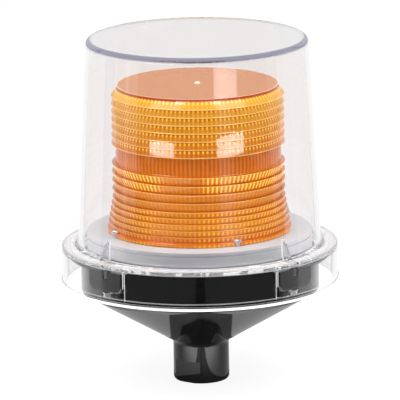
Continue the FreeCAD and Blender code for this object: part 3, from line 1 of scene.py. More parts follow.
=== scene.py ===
"""Dressed model of a pipe-mount rotating beacon: detailed pieces, finishes, studio and camera."""
import json
import math

import bpy
from mathutils import Matrix, Vector


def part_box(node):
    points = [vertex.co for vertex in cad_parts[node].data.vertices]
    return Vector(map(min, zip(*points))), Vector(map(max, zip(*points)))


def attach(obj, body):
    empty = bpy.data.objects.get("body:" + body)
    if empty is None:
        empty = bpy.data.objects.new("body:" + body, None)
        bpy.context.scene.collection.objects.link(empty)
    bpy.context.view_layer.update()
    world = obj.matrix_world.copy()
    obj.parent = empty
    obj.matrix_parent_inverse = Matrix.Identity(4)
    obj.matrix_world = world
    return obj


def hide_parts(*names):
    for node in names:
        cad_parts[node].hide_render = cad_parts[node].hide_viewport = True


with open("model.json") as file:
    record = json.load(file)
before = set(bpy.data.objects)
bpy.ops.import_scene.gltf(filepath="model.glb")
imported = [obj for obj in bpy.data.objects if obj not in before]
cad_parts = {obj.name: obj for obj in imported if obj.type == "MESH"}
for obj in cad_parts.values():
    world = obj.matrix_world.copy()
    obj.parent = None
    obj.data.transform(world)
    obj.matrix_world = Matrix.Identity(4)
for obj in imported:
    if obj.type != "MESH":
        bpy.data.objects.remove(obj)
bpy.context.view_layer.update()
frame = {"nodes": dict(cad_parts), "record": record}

MM = 0.001
HAIR = 0.1 * MM     # finest step in a drawn edge
NODES = frame["nodes"]
SLOT_OF = {part["node"]: part["material_slot"] for part in frame["record"]["subparts"]}

lens_low, lens_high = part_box("fresnel_lens")
dome_low, dome_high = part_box("outer_dome")
base_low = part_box("base_housing")[0]


# ---------------------------------------------------------------- shader expressions

class Shade:
    """One socket of a node tree; arithmetic on it adds Math nodes."""

    def __init__(self, tree, socket=None):
        self.tree = tree
        self.socket = socket

    def make(self, kind, settings=None, sockets=None, output=0):
        """Adds a node: its settings first, then the values or links of its sockets."""
        node = self.tree.nodes.new(kind)
        for name, value in (settings or {}).items():
            if name == "stops":
                set_stops(node.color_ramp.elements, value)
            else:
                setattr(node, name, value)
        for key, value in (sockets or {}).items():
            if isinstance(value, Shade):
                self.tree.links.new(value.socket, node.inputs[key])
            else:
                node.inputs[key].default_value = value
        return Shade(self.tree, node.outputs[output] if len(node.outputs) else None)

    def math(self, operation, first, second=0.0, clamp=False):
        settings = {"operation": operation, "use_clamp": clamp}
        return self.make("ShaderNodeMath", settings, {0: first, 1: second})

    def __add__(self, other):
        return self.math("ADD", self, other)

    def __radd__(self, other):
        return self.math("ADD", other, self)

    def __sub__(self, other):
        return self.math("SUBTRACT", self, other)

    def __rsub__(self, other):
        return self.math("SUBTRACT", other, self)

    def __mul__(self, other):
        return self.math("MULTIPLY", self, other)

    def __rmul__(self, other):
        return self.math("MULTIPLY", other, self)

    def __truediv__(self, other):
        return self.math("DIVIDE", self, other)

    def __pow__(self, other):
        return self.math("POWER", self, other)


def set_stops(elements, stops):
    """Gives a colour ramp its stops, each a place and a colour or a grey."""
    while len(elements) < len(stops):
        elements.new(1.0)
    for element, (place, colour) in zip(elements, stops):
        element.position = place
        element.color = (*colour, 1) if isinstance(colour, tuple) else (colour, colour, colour, 1)


def srgb(code):
    """Linear colour of a six-digit sRGB code."""
    parts = [int(code[at:at + 2], 16) / 255 for at in (0, 2, 4)]
    return tuple(part / 12.92 if part <= 0.04045 else ((part + 0.055) / 1.055) ** 2.4 for part in parts)


def new_material(name):
    """An empty material and the start of its node tree."""
    material = bpy.data.materials.new(name)
    material.use_nodes = True
    material.node_tree.nodes.clear()
    return material, Shade(material.node_tree)


def end_material(graph, shader, volume=None):
    """Links a shader, and what fills the volume if anything does, to the material's output."""
    ends = {"Surface": shader}
    if volume:
        ends["Volume"] = volume
    graph.make("ShaderNodeOutputMaterial", None, ends)


def object_place(graph):
    return graph.make("ShaderNodeTexCoord", output="Object")


def parts_of(place):
    """The X, Y and Z of a place as three values."""
    node = place.make("ShaderNodeSeparateXYZ", None, {0: place}).socket.node
    return [Shade(place.tree, node.outputs[axis]) for axis in range(3)]


def noise(place, scale, detail=2.0, roughness=0.5):
    return place.make("ShaderNodeTexNoise", None,
                      {"Vector": place, "Scale": scale, "Detail": detail, "Roughness": roughness})


def stretched(place, scale):
    """The place scaled by three factors, for a pattern drawn out along an axis."""
    return place.make("ShaderNodeMapping", None, {"Vector": place, "Scale": scale})


def radius_of(across, along):
    """Distance from the beacon's axis."""
    return (across ** 2 + along ** 2) ** 0.5


def smooth(value, low, high, start=0.0, end=1.0):
    """Eases from start to end as a value goes from low to high."""
    return value.make("ShaderNodeMapRange", {"interpolation_type": "SMOOTHSTEP"},
                      {0: value, 1: low, 2: high, 3: start, 4: end})


def linear(value, low, high, start=0.0, end=1.0):
    """Goes evenly from start to end as a value goes from low to high."""
    return value.make("ShaderNodeMapRange", None, {0: value, 1: low, 2: high, 3: start, 4: end})


def reaches(value, level, ease):
    """0 up to an ease below the level, 1 from the level on."""
    return smooth(value, level - ease, level)


def band(value, low, high, ease, ease_out=None):
    """1 from low to high, easing to 0 beyond them over the given widths."""
    return reaches(value, low, ease) * (1 - smooth(value, high, high + (ease_out or ease)))


def fraction(value):
    """What is left of a value above the whole number below it."""
    return value.math("FRACT", value)


def blend(mask, first, second):
    """Goes from the first colour to the second as the mask goes from 0 to 1."""
    colours = {}
    for key, colour in ((6, first), (7, second)):
        colours[key] = colour if isinstance(colour, Shade) else (*colour, 1)
    return mask.make("ShaderNodeMix", {"data_type": "RGBA"}, {0: mask, **colours}, output=2)


def bump(height, distance, strength=1.0):
    sockets = {"Height": height, "Distance": distance, "Strength": strength}
    return height.make("ShaderNodeBump", None, sockets, output="Normal")


def light_path(graph, ray):
    """1 for the named kind of ray, else 0."""
    return graph.make("ShaderNodeLightPath", output=ray)


def mix_shaders(share, first, second):
    """Goes from the first shader to the second as the share goes from 0 to 1."""
    return share.make("ShaderNodeMixShader", None, {0: share, 1: first, 2: second})


def principled(graph, sockets):
    return graph.make("ShaderNodeBsdfPrincipled", None, sockets)


# ---------------------------------------------------------------- dome and lens measures

DOME_TOP_RADIUS = 90.6 * MM
CORNER_DEPTH, CORNER_WIDTH = 3.0 * MM, 3.2 * MM
FLANGE_RADIUS, FLANGE_FOOT, FLANGE_TOP = 113.0 * MM, 111.5 * MM, 115.5 * MM
FLANGE_FACE, FLANGE_RIM = 8.0 * MM, 0.8 * MM
BEAD_HEIGHT, STEP_HEIGHT = 1.9 * MM, 5.6 * MM
LUG_HALF, LUG_CORNER, LUG_FOOT, LUG_REACH = 19.0 * MM, 8.0 * MM, 92.0 * MM, 107.5 * MM
LUG_DEPTH = 4.0 * MM

FLUTES = 120
LENS_STEPS = 3 * FLUTES
FLUTE_GROWTH = 1.012
UPPER_VALLEYS = (0.8, 1.2, 1.6, 2.0, 2.35, 2.65)    # depths in millimetres, the lowest first
UPPER_RINGS, LOWER_RINGS, FOOT_RINGS = len(UPPER_VALLEYS) + 1, 4, 5
RING_UP, RING_LOW = 6.6 * MM, 7.1 * MM
RING_LAND = 0.6 * MM
RING_ROUND = 0.28 * MM
LENS_INNER = 64.0 * MM
LENS_VALLEY = 67.9 * MM
LENS_RIDGE = 70.8 * MM
LENS_FLANGE = 75.0 * MM
LENS_FLARE = 4.2 * MM
LENS_FOOT_RIDGE = 1.6 * MM
LENS_ROOF = 3.1 * MM
TOP_STEP, TOP_INSET, LIP_WIDTH = 1.7 * MM, 2.1 * MM, 2.6 * MM
GATE_HEIGHT, GATE_RADIUS, GATE_FOOT_RADIUS = 1.5 * MM, 1.2 * MM, 2.6 * MM
# Radii between which the painted glint on the gate nub fades out.
GATE_GLINT_RADII = (2.2 * MM, 3.0 * MM)
WAIST, WAIST_OUT, WAIST_BULGE = 15.9 * MM, 3.2 * MM, 0.6 * MM
LENS_FLANGE_TOP = lens_low.z + 2.8 * MM
UPPER_FOOT = lens_high.z - TOP_STEP - UPPER_RINGS * RING_UP
WAIST_FOOT = UPPER_FOOT - WAIST
LOWER_FOOT = WAIST_FOOT - LOWER_RINGS * RING_LOW
FOOT_PITCH = (LOWER_FOOT - LENS_FLANGE_TOP) / FOOT_RINGS
BAND_FOOT = UPPER_FOOT + 6.35 * RING_UP


# ---------------------------------------------------------------- finishes

CLOUD = (0.3, 0.7)      # range that a cloudy noise mostly keeps to


def cast_black():
    """Glossy black enamel over a fine sand-cast surface."""
    material, graph = new_material("cast_black")
    place = object_place(graph)
    peel = noise(place, scale=160, detail=2, roughness=0.5)
    cloud = noise(place, scale=22, detail=3, roughness=0.6)
    colour = blend(cloud, (0.003, 0.003, 0.0031), (0.008, 0.008, 0.0082))
    gloss = linear(cloud, *CLOUD, 0.03, 0.08)
    end_material(graph, principled(graph, {
        "Base Color": colour, "Roughness": gloss, "IOR": 1.5, "Coat Weight": 0.25, "Coat Roughness": 0.05,
        "Normal": bump(peel, 0.00002, 0.1)}))
    return material


# Clear tint of the dome, and the colours of its painted shade in the top corner and at the flange's foot.
DOME_CLEAR, DOME_CORNER_PAINTED_SHADE, DOME_RIM_PAINTED_SHADE = (0.955, 0.94, 0.938), (0.16, 0.16, 0.27), (0.25, 0.25, 0.27)
# Strengths of the painted white highlight lines on the skirt's bead and step and on the flange's top face.
BEAD_WHITE, STEP_WHITE, FACE_WHITE = 0.75, 0.3, 0.4


def painted_lug_highlight(across, along, up, radius):
    """1 along the rounded edges of the four screw lugs: a painted highlight where the moulding would catch
    the light.
    """
    aside = across.math("ABSOLUTE", across)
    ahead = across.math("ABSOLUTE", along)
    beside = across.math("ABSOLUTE", (aside - ahead) * math.sqrt(0.5))
    out = across.math("MAXIMUM", beside - (LUG_HALF - LUG_CORNER), 0.0)
    down = across.math("MAXIMUM", (LUG_FOOT + LUG_CORNER) - up, 0.0)
    inside = radius_of(out, down) - LUG_CORNER
    line = 1 - smooth(across.math("ABSOLUTE", inside), 4 * HAIR, 9 * HAIR)
    return line * band(radius, LUG_REACH - LUG_DEPTH, LUG_REACH, 2 * MM, MM)


def dome_colour_and_painted_shade(up, radius):
    """Nearly colourless, with painted dark shade in the thick top corner and a painted dark line at the
    flange's foot.
    """
    corner = reaches(up, dome_high.z - CORNER_DEPTH, 1.2 * MM)
    corner = corner * reaches(radius, DOME_TOP_RADIUS - CORNER_WIDTH, 0.8 * MM)
    rim = reaches(radius, FLANGE_RADIUS - FLANGE_RIM, 4 * HAIR)
    rim = rim * band(up, FLANGE_FOOT - 2 * HAIR, FLANGE_FOOT + 6 * HAIR, 3 * HAIR)
    return blend(rim, blend(corner, DOME_CLEAR, DOME_CORNER_PAINTED_SHADE), DOME_RIM_PAINTED_SHADE)


def painted_dome_highlights(across, along, up, radius):
    """Share of painted highlight: white lines on the skirt's bead and step, the flange's top face and the
    lugs' edges.
    """
    bead = 1 - smooth(up, dome_low.z + BEAD_HEIGHT, dome_low.z + BEAD_HEIGHT + 3 * HAIR)
    step = dome_low.z + STEP_HEIGHT
    step_line = band(up, step - HAIR, step + HAIR, 2 * HAIR)
    face = band(up, FLANGE_TOP - HAIR, FLANGE_TOP, 2 * HAIR, MM)
    face = face * reaches(radius, FLANGE_RADIUS - FLANGE_FACE, MM)
    lines = bead * BEAD_WHITE + step_line * STEP_WHITE + face * FACE_WHITE
    return up.math("MAXIMUM", lines, painted_lug_highlight(across, along, up, radius))


def clear_dome():
    """Clear moulded polycarbonate that bends what is seen through it and lets the lamps' light in. It
    carries painted white highlight lines, which glow a little, and painted dark shade in its top corner and
    at the flange's foot.
    """
    material, graph = new_material("dome_clear")
    place = object_place(graph)
    across, along, up = parts_of(place)
    radius = radius_of(across, along)
    ripple = noise(stretched(place, (9, 9, 1.5)), scale=3, detail=2)
    glass = principled(graph, {"Base Color": dome_colour_and_painted_shade(up, radius), "Roughness": 0.0, "IOR": 1.49,
                               "Transmission Weight": 1.0, "Normal": bump(ripple, 0.0004, 0.1)})
    # Painted highlight: a pale surface that glows a little, used for the white lines.
    painted_highlight = principled(graph, {"Base Color": (0.92, 0.92, 0.93, 1), "Roughness": 0.25, "IOR": 1.49,
                                 "Emission Color": (1, 1, 1, 1), "Emission Strength": 0.5})
    seen = mix_shaders(painted_dome_highlights(across, along, up, radius), glass, painted_highlight)
    through = graph.make("ShaderNodeBsdfTransparent", None, {"Color": (0.98, 0.98, 0.98, 1)})
    passing = graph.math("ADD", light_path(graph, "Is Shadow Ray"), light_path(graph, "Is Reflection Ray"),
                         clamp=True)
    thick = graph.make("ShaderNodeVolumeAbsorption", None, {"Color": (0.70, 0.70, 0.73, 1), "Density": 24.0})
    end_material(graph, mix_shaders(passing, seen, through), thick)
    return material


MIRROR_SHARE = 0.035


def wall_shine(edge):
    """Share of light that a clear wall throws back, the same from both of its sides."""
    return MIRROR_SHARE + (1 - MIRROR_SHARE) * edge ** 5


LENS_CLARITY = 0.22
# Colours of the lens by height: partly the amber's own tone, partly painted light and shade, paler yellow
# near the top and redder at the waist, with a thin painted dark red shade line at the top step.
LENS_TONES = (
    (0.0, srgb("EE9428")), (0.03, srgb("D9701A")), (0.1, srgb("EDA226")), (0.25, srgb("EB9A22")),
    (0.46, srgb("EA9422")), (0.53, srgb("E27E22")), (0.62, srgb("DE8520")), (0.8, srgb("E2A022")),
    (0.975, srgb("EFB840")), (0.984, srgb("A02C0C")), (0.992, srgb("B0380F")), (1.0, srgb("BF7422")))
# How strong the painted shade stripes along the flutes are at each height.
FLUTE_STRIPE_STRENGTHS = ((0.0, 0.0), (0.03, 0.2), (0.25, 0.22), (0.45, 0.3), (0.5, 0.6), (0.6, 0.6), (0.65, 0.4),
                (0.9, 0.35), (0.97, 0.1), (0.99, 0.0))
FLUTE_PAINTED_SHADE, RIDGE_PAINTED_SHADE = srgb("A33A0A"), srgb("A8430F")
RIDGE_PAINTED_HIGHLIGHT, GLINT_PAINTED_COLOUR = srgb("FFDC82"), srgb("FFD545")
LIP_PAINTED_HIGHLIGHT, GATE_PAINTED_GLINT = srgb("FFE3C8"), srgb("FFF6E8")
DIM_PAINTED_GLOW, BRIGHT_PAINTED_GLOW = (0.16, 0.045, 0.002), srgb("FFC52A")

# Where the edges of the painted ridge highlights and shade ease within one ring, from 0 at its foot to 1 at
# its head.
UPPER_LIT, LOWER_LIT, FOOT_LIT = (0.08, 0.2), (0.9, 0.96), (0.86, 0.94)
UPPER_SHADED, LOWER_SHADED, FOOT_SHADED = (0.8, 0.93), (0.04, 0.16), (0.02, 0.2)
# Where the rows of painted glints lie within a ring, and how bright they are.
UPPER_DASH, FOOT_DASH = (0.7, 0.85, 0.15, 0.12), (0.4, 0.65, 0.2, 0.25)
LOWER_DASH = (0.12, 0.2)

LOWER_LEVEL, FOOT_LEVEL, LOWER_DASH_LEVEL, FOOT_DASH_LEVELS = 0.8, 0.5, 1.3, (0.2, 0.75)
DASHED_RINGS = 1.9
PATCH_EDGE = (0.42, 0.56)
FLUTE_SIDE, FLUTE_CREST = (-0.5, 0.7), (0.0, 0.75)
DASH_SHARE, LIP_SHARE, GATE_SHARE = 0.7, 0.7, 0.9


def painted_ridge_light_and_shade(up, upper_step, lower_step, foot_step):
    """Two shares on the lens's rings: a painted highlight where a ridge would catch the light, and painted
    shade where it would lie in shade.
    """
    in_upper = band(up, UPPER_FOOT + HAIR, BAND_FOOT, 2 * HAIR, MM)
    in_lower = band(up, LOWER_FOOT, WAIST_FOOT, HAIR)
    in_foot = band(up, LENS_FLANGE_TOP + MM, LOWER_FOOT - HAIR, MM, HAIR)
    light = in_upper * (1 - smooth(upper_step, *UPPER_LIT))
    light = light + in_lower * smooth(lower_step, *LOWER_LIT) * LOWER_LEVEL
    light = light + in_foot * smooth(foot_step, *FOOT_LIT) * FOOT_LEVEL
    dark = in_upper * smooth(upper_step, *UPPER_SHADED) + in_lower * (1 - smooth(lower_step, *LOWER_SHADED))
    dark = dark + in_foot * (1 - smooth(foot_step, *FOOT_SHADED))
    return light, dark


def painted_glint_rows(place, up, upper_step, lower_step, foot_step):
    """Share of the painted glints, in bright rows: one to an upper ring, two broken ones below the waist,
    faint at the foot.
    """
    patch = smooth(noise(stretched(place, (1, 1, 0.15)), scale=24, detail=1), *PATCH_EDGE)
    upper = smooth(up, UPPER_FOOT - HAIR, UPPER_FOOT + HAIR) * band(upper_step, *UPPER_DASH)
    lower = band(up, WAIST_FOOT - DASHED_RINGS * RING_LOW, WAIST_FOOT, 0.2 * RING_LOW, 3 * HAIR)
    lower = lower * smooth(lower_step, *LOWER_DASH) * patch
    foot = (1 - smooth(up, LOWER_FOOT - 2 * HAIR, LOWER_FOOT)) * band(foot_step, *FOOT_DASH)
    return upper + lower * LOWER_DASH_LEVEL + foot * linear(patch, 0, 1, *FOOT_DASH_LEVELS)


def painted_top_highlights(colour, up, radius):
    """Adds painted highlights to the lens's flat top: a pale lip at its edge and a bright glint on the gate
    nub.
    """
    disc = smooth(up, lens_high.z - 3 * HAIR, lens_high.z - HAIR)
    lip = disc * reaches(radius, LENS_VALLEY - LIP_WIDTH, 6 * HAIR)
    gate = disc * (1 - smooth(radius, *GATE_GLINT_RADII))
    return blend(gate * GATE_SHARE, blend(lip * LIP_SHARE, colour, LIP_PAINTED_HIGHLIGHT), GATE_PAINTED_GLINT)


def amber_lens():
    """Amber acrylic with flutes inside it and rings outside. Its colour carries painted shade along the
    flutes, painted highlights and shade on the rings, rows of painted glints, and a painted glow.
    """
    material, graph = new_material("lens_amber")
    place = object_place(graph)
    across, along, up = parts_of(place)
    turn = graph.math("ARCTAN2", along, across) / (2 * math.pi)
    flute = graph.math("COSINE", turn * (2 * math.pi * FLUTES))
    height = linear(up, lens_low.z, lens_high.z)
    body = height.make("ShaderNodeValToRGB", {"stops": LENS_TONES}, {0: height}, output="Color")
    depth = height.make("ShaderNodeValToRGB", {"stops": FLUTE_STRIPE_STRENGTHS}, {0: height}, output="Color")
    cloud = noise(place, scale=26, detail=3)
    # Painted shade: darker stripes between the flutes, in place of the light that they bend.
    shade = (1 - smooth(flute, *FLUTE_SIDE)) * depth * linear(cloud, *CLOUD, 0.7, 1.15)
    steps = [fraction((up - UPPER_FOOT) / RING_UP), fraction((up - LOWER_FOOT) / RING_LOW),
             fraction((up - LENS_FLANGE_TOP) / FOOT_PITCH)]
    light, dark = painted_ridge_light_and_shade(up, *steps)
    colour = blend(shade, body, FLUTE_PAINTED_SHADE)
    # Painted shade and painted highlights on the ridges of the rings.
    colour = blend(dark * linear(cloud, *CLOUD, 0.45, 0.8), colour, RIDGE_PAINTED_SHADE)
    colour = blend(light * linear(cloud, *CLOUD, 0.45, 0.9), colour, RIDGE_PAINTED_HIGHLIGHT)
    colour = painted_top_highlights(colour, up, radius_of(across, along))
    # Painted glints in rows of bright dashes. They and a dim painted glow over the whole lens are emitted,
    # though the lens is no lamp.
    painted_glint = smooth(flute, *FLUTE_CREST) * painted_glint_rows(place, up, *steps)
    end_material(graph, principled(graph, {
        "Base Color": blend(painted_glint * DASH_SHARE, colour, GLINT_PAINTED_COLOUR), "Roughness": 0.05, "IOR": 1.38,
        "Transmission Weight": LENS_CLARITY, "Emission Color": blend(painted_glint, DIM_PAINTED_GLOW, BRIGHT_PAINTED_GLOW),
        "Emission Strength": 0.4}))
    return material


def metal(name, colour, rough, drawn=(1, 1, 1), mottling=0.12, depth=0.00002):
    """Machined or plated metal with fine drawn marks, uneven gloss and faint stains."""
    material, graph = new_material(name)
    place = object_place(graph)
    marks = noise(stretched(place, drawn), scale=1500, detail=3, roughness=0.6)
    stain = noise(place, scale=70, detail=4, roughness=0.6)
    dull = tuple(part * (1 - mottling) for part in colour)
    end_material(graph, principled(graph, {
        "Base Color": blend(stain, colour, dull), "Metallic": 1.0,
        "Roughness": linear(stain, *CLOUD, rough * 0.8, rough * 1.25) + marks * 0.06,
        "Normal": bump(marks, depth, 0.5)}))
    return material


def moulded(name, colour, rough, grain=500.0, depth=0.00003, specks=0.15):
    """Moulded plastic, rubber or enamel with a fine grain and slight unevenness in its colour."""
    material, graph = new_material(name)
    place = object_place(graph)
    fine = noise(place, grain, detail=3, roughness=0.6)
    cloud = noise(place, scale=45, detail=3, roughness=0.55)
    worn = tuple(part + (0.5 - part) * specks * 0.35 for part in colour)
    end_material(graph, principled(graph, {
        "Base Color": blend(smooth(cloud, 0.35, 0.8), colour, worn), "IOR": 1.48,
        "Roughness": linear(cloud, *CLOUD, rough * 0.85, rough * 1.15) + fine * 0.05,
        "Normal": bump(fine, depth, 0.6)}))
    return material


def platform_silver():
    """Satin silver paint on pressed sheet. Its upper face is a bluer, less metallic copy of the same paint:
    painted light and shade, not a change of finish.
    """
    material, graph = new_material("platform_silver")
    place = object_place(graph)
    fine = noise(place, scale=1200, detail=2)
    cloud = noise(place, scale=30, detail=4, roughness=0.6)
    # Painted light and shade: the upper face gets a darker, bluer colour and less metal than the sides.
    upper_face = reaches(parts_of(place)[2], lens_low.z - 7 * HAIR, 3 * HAIR)
    silver = blend(cloud, (0.78, 0.78, 0.81), (0.86, 0.86, 0.89))
    end_material(graph, principled(graph, {
        "Base Color": blend(upper_face, silver, (0.60, 0.64, 0.69)), "Metallic": 0.65 - upper_face * 0.55,
        "Roughness": linear(cloud, *CLOUD, 0.38, 0.48), "Normal": bump(fine, 0.00002, 0.5)}))
    return material


def lamp_clear():
    """Thin clear bulb glass."""
    material, graph = new_material("lamp_clear")
    seeds = noise(object_place(graph), scale=120, detail=2)
    through = graph.make("ShaderNodeBsdfTransparent", None, {"Color": (0.97, 0.975, 0.98, 1)})
    shine = graph.make("ShaderNodeBsdfGlossy", None,
                       {"Roughness": 0.01, "Normal": bump(seeds, 0.0002, 0.1)})
    edge = graph.make("ShaderNodeLayerWeight", None, {"Blend": 0.5}, output="Facing")
    end_material(graph, mix_shaders(wall_shine(edge), through, shine))
    return material


FINISHES = {
    "cast_black": cast_black(),
    "dome_clear": clear_dome(),
    "lens_amber": amber_lens(),
    "gasket_black": moulded("gasket_black", (0.02, 0.02, 0.02), 0.65, 900),
    "gasket_grey": moulded("gasket_grey", (0.88, 0.88, 0.90), 0.5, 900),
    "nameplate_black": moulded("nameplate_black", (0.0025, 0.0022, 0.0024), 0.16, 700, 0.00001, 0.004),
    "screw_steel": metal("screw_steel", (0.82, 0.82, 0.84), 0.3),
    "shaft_steel": metal("shaft_steel", (0.62, 0.62, 0.64), 0.18, (6, 6, 0.3)),
    "bracket_steel": metal("bracket_steel", (0.60, 0.61, 0.62), 0.32, (1, 1, 0.1)),
    "brass": metal("brass", (0.72, 0.50, 0.20), 0.25),
    "bearing_bronze": metal("bearing_bronze", (0.50, 0.32, 0.14), 0.38),
    "platform_silver": platform_silver(),
    "reflector_chrome": metal("reflector_chrome", (0.88, 0.88, 0.90), 0.05, (1, 1, 1), 0.03, 0.000005),
    "gear_white": moulded("gear_white", (0.78, 0.77, 0.70), 0.4, 600),
    "motor_grey": moulded("motor_grey", (0.25, 0.26, 0.28), 0.35, 400),
    "socket_steel": metal("socket_steel", (0.56, 0.56, 0.55), 0.28, (1, 1, 0.2)),
    "spindle_zinc": metal("spindle_zinc", (0.55, 0.56, 0.58), 0.35),
    "lamp_clear": lamp_clear(),
    "filament_grey": metal("filament_grey", (0.25, 0.25, 0.27), 0.4),
    "block_black": moulded("block_black", (0.03, 0.03, 0.03), 0.45, 500),
    "ground_green": moulded("ground_green", (0.02, 0.22, 0.07), 0.25, 500),
    "lead_white": moulded("lead_white", (0.72, 0.72, 0.70), 0.42, 700),
    "lead_red": moulded("lead_red", (0.42, 0.02, 0.015), 0.4, 700),
}


def paint(thing, finish):
    """Gives an object one finish."""
    thing.data.materials.clear()
    thing.data.materials.append(FINISHES[finish])


for node_name, node in NODES.items():
    paint(node, SLOT_OF[node_name])
paint(NODES["dome_inserts"], "bracket_steel")


# ---------------------------------------------------------------- modelling helpers

WELD = 0.02 * MM


def deselect():
    bpy.ops.object.select_all(action="DESELECT")


def edit(thing):
    """Goes into edit mode on one object with nothing in it selected."""
    deselect()
    bpy.context.view_layer.objects.active = thing
    thing.select_set(True)
    bpy.ops.object.mode_set(mode="EDIT")
    bpy.ops.mesh.select_all(action="DESELECT")


def leave_edit():
    bpy.ops.object.mode_set(mode="OBJECT")


def select_points(thing, test):
    """Selects the points that a test of their place picks, and leaves edit mode on."""
    leave_edit()
    for point in thing.data.vertices:
        point.select = test(point.co)
    bpy.ops.object.mode_set(mode="EDIT")


def draw_profile(name, corners):
    """A chain of edges through corners given as (radius, height), drawn by extruding one point."""
    deselect()
    bpy.ops.mesh.primitive_plane_add(size=1)
    thing = bpy.context.object
    thing.name = name
    thing.data.name = name
    bpy.ops.object.mode_set(mode="EDIT")
    bpy.ops.mesh.select_mode(type="VERT")
    bpy.ops.mesh.select_all(action="SELECT")
    bpy.ops.mesh.merge(type="CENTER")
    radius, height = corners[0]
    bpy.ops.transform.translate(value=(radius, 0, height))
    for (radius_a, height_a), (radius_b, height_b) in zip(corners, corners[1:]):
        bpy.ops.mesh.extrude_region_move(
            TRANSFORM_OT_translate={"value": (radius_b - radius_a, 0, height_b - height_a)})
    return thing


def spin_profile(steps):
    """Turns the drawn profile once about the beacon's axis into a closed shell."""
    bpy.ops.mesh.select_all(action="SELECT")
    bpy.ops.mesh.spin(steps=steps, angle=2 * math.pi, center=(0, 0, 0), axis=(0, 0, 1))
    bpy.ops.mesh.select_all(action="SELECT")
    bpy.ops.mesh.remove_doubles(threshold=WELD)
    bpy.ops.mesh.normals_make_consistent(inside=False)
    leave_edit()


def finish_piece(thing, body, finish, *replaced, smooth_angle=30.0):
    """Smooths a finished piece, gives it its finish and hangs it on its body."""
    deselect()
    bpy.context.view_layer.objects.active = thing
    thing.select_set(True)
    bpy.ops.object.transform_apply(location=True, rotation=True, scale=True)
    bpy.ops.object.shade_smooth_by_angle(angle=math.radians(smooth_angle))
    paint(thing, finish)
    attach(thing, body)
    if replaced:
        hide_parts(*replaced)
    return thing


# ---------------------------------------------------------------- amber lens

def lens_profile():
    """The lens's closed section as (radius, height), from the middle of its top, out and down."""
    foot, top = lens_low.z, lens_high.z
    corners = [(0, top + GATE_HEIGHT), (GATE_RADIUS, top + GATE_HEIGHT), (GATE_FOOT_RADIUS, top)]
    corners += [(LENS_VALLEY - TOP_INSET, top), (LENS_VALLEY - TOP_INSET, top - TOP_STEP)]
    for ring in range(UPPER_RINGS - 1, -1, -1):
        ridge_z = UPPER_FOOT + RING_UP * ring
        corners += [(LENS_RIDGE, ridge_z + RING_LAND), (LENS_RIDGE, ridge_z)]
        if ring:
            corners.append((LENS_RIDGE - UPPER_VALLEYS[ring - 1] * MM, ridge_z))
    waist_radius = LENS_INNER + WAIST_OUT
    corners += [(waist_radius, UPPER_FOOT), (waist_radius + WAIST_BULGE, (UPPER_FOOT + WAIST_FOOT) / 2),
                (waist_radius, WAIST_FOOT)]
    for ring in range(LOWER_RINGS, 0, -1):
        ridge_z = LOWER_FOOT + RING_LOW * ring
        corners += [(LENS_RIDGE, ridge_z), (LENS_RIDGE, ridge_z - RING_LAND)]
        corners.append((LENS_VALLEY, ridge_z - RING_LOW))
    flare = LENS_FLARE / FOOT_RINGS
    for ring in range(FOOT_RINGS, 0, -1):
        ridge = LENS_RIDGE + flare * (FOOT_RINGS - ring)
        ridge_z = LENS_FLANGE_TOP + FOOT_PITCH * ring
        corners += [(ridge, ridge_z), (ridge, ridge_z - RING_LAND)]
        corners.append((ridge - LENS_FOOT_RIDGE, ridge_z - FOOT_PITCH))
    corners += [(LENS_FLANGE, LENS_FLANGE_TOP), (LENS_FLANGE, foot), (LENS_INNER, foot)]
    corners += [(LENS_INNER, top - LENS_ROOF), (0, top - LENS_ROOF)]
    return corners


def on_ridge(place):
    """Picks the corners of the ridges in the drawn section."""
    return place.x > LENS_RIDGE - HAIR and place.z > lens_low.z + MM


def on_flute(place):
    """Picks every third column of points on the lens's inner wall."""
    radius = math.hypot(place.x, place.y)
    column = round(math.atan2(place.y, place.x) / (2 * math.pi) * LENS_STEPS)
    on_wall = LENS_INNER - 5 * HAIR < radius < LENS_INNER + 2 * HAIR
    return on_wall and column % 3 == 0 and lens_low.z + MM < place.z


def amber_lens_piece():
    """The lens: its section with bevelled ridges, turned about the axis, and flutes in its inner wall."""
    thing = draw_profile("amber_lens", lens_profile())
    select_points(thing, on_ridge)
    bpy.ops.mesh.bevel(offset=RING_ROUND, segments=2, affect="VERTICES")
    spin_profile(LENS_STEPS)
    edit(thing)
    select_points(thing, on_flute)
    bpy.ops.transform.resize(value=(FLUTE_GROWTH, FLUTE_GROWTH, 1), center_override=(0, 0, 0))
    leave_edit()
    return finish_piece(thing, "base", "lens_amber", "fresnel_lens")


LENS = amber_lens_piece()


# ---------------------------------------------------------------- pipe thread

BORE_RADIUS = 14.85 * MM
THREAD_PITCH = 2.209 * MM
THREAD_TURNS, THREAD_STEPS = 9, 72
THREAD_DEPTH, THREAD_ROOT = 0.9 * MM, 0.25 * MM
THREAD_HALF, THREAD_CREST = 0.42 * THREAD_PITCH, 0.15 * MM
THREAD_START = 0.9 * MM


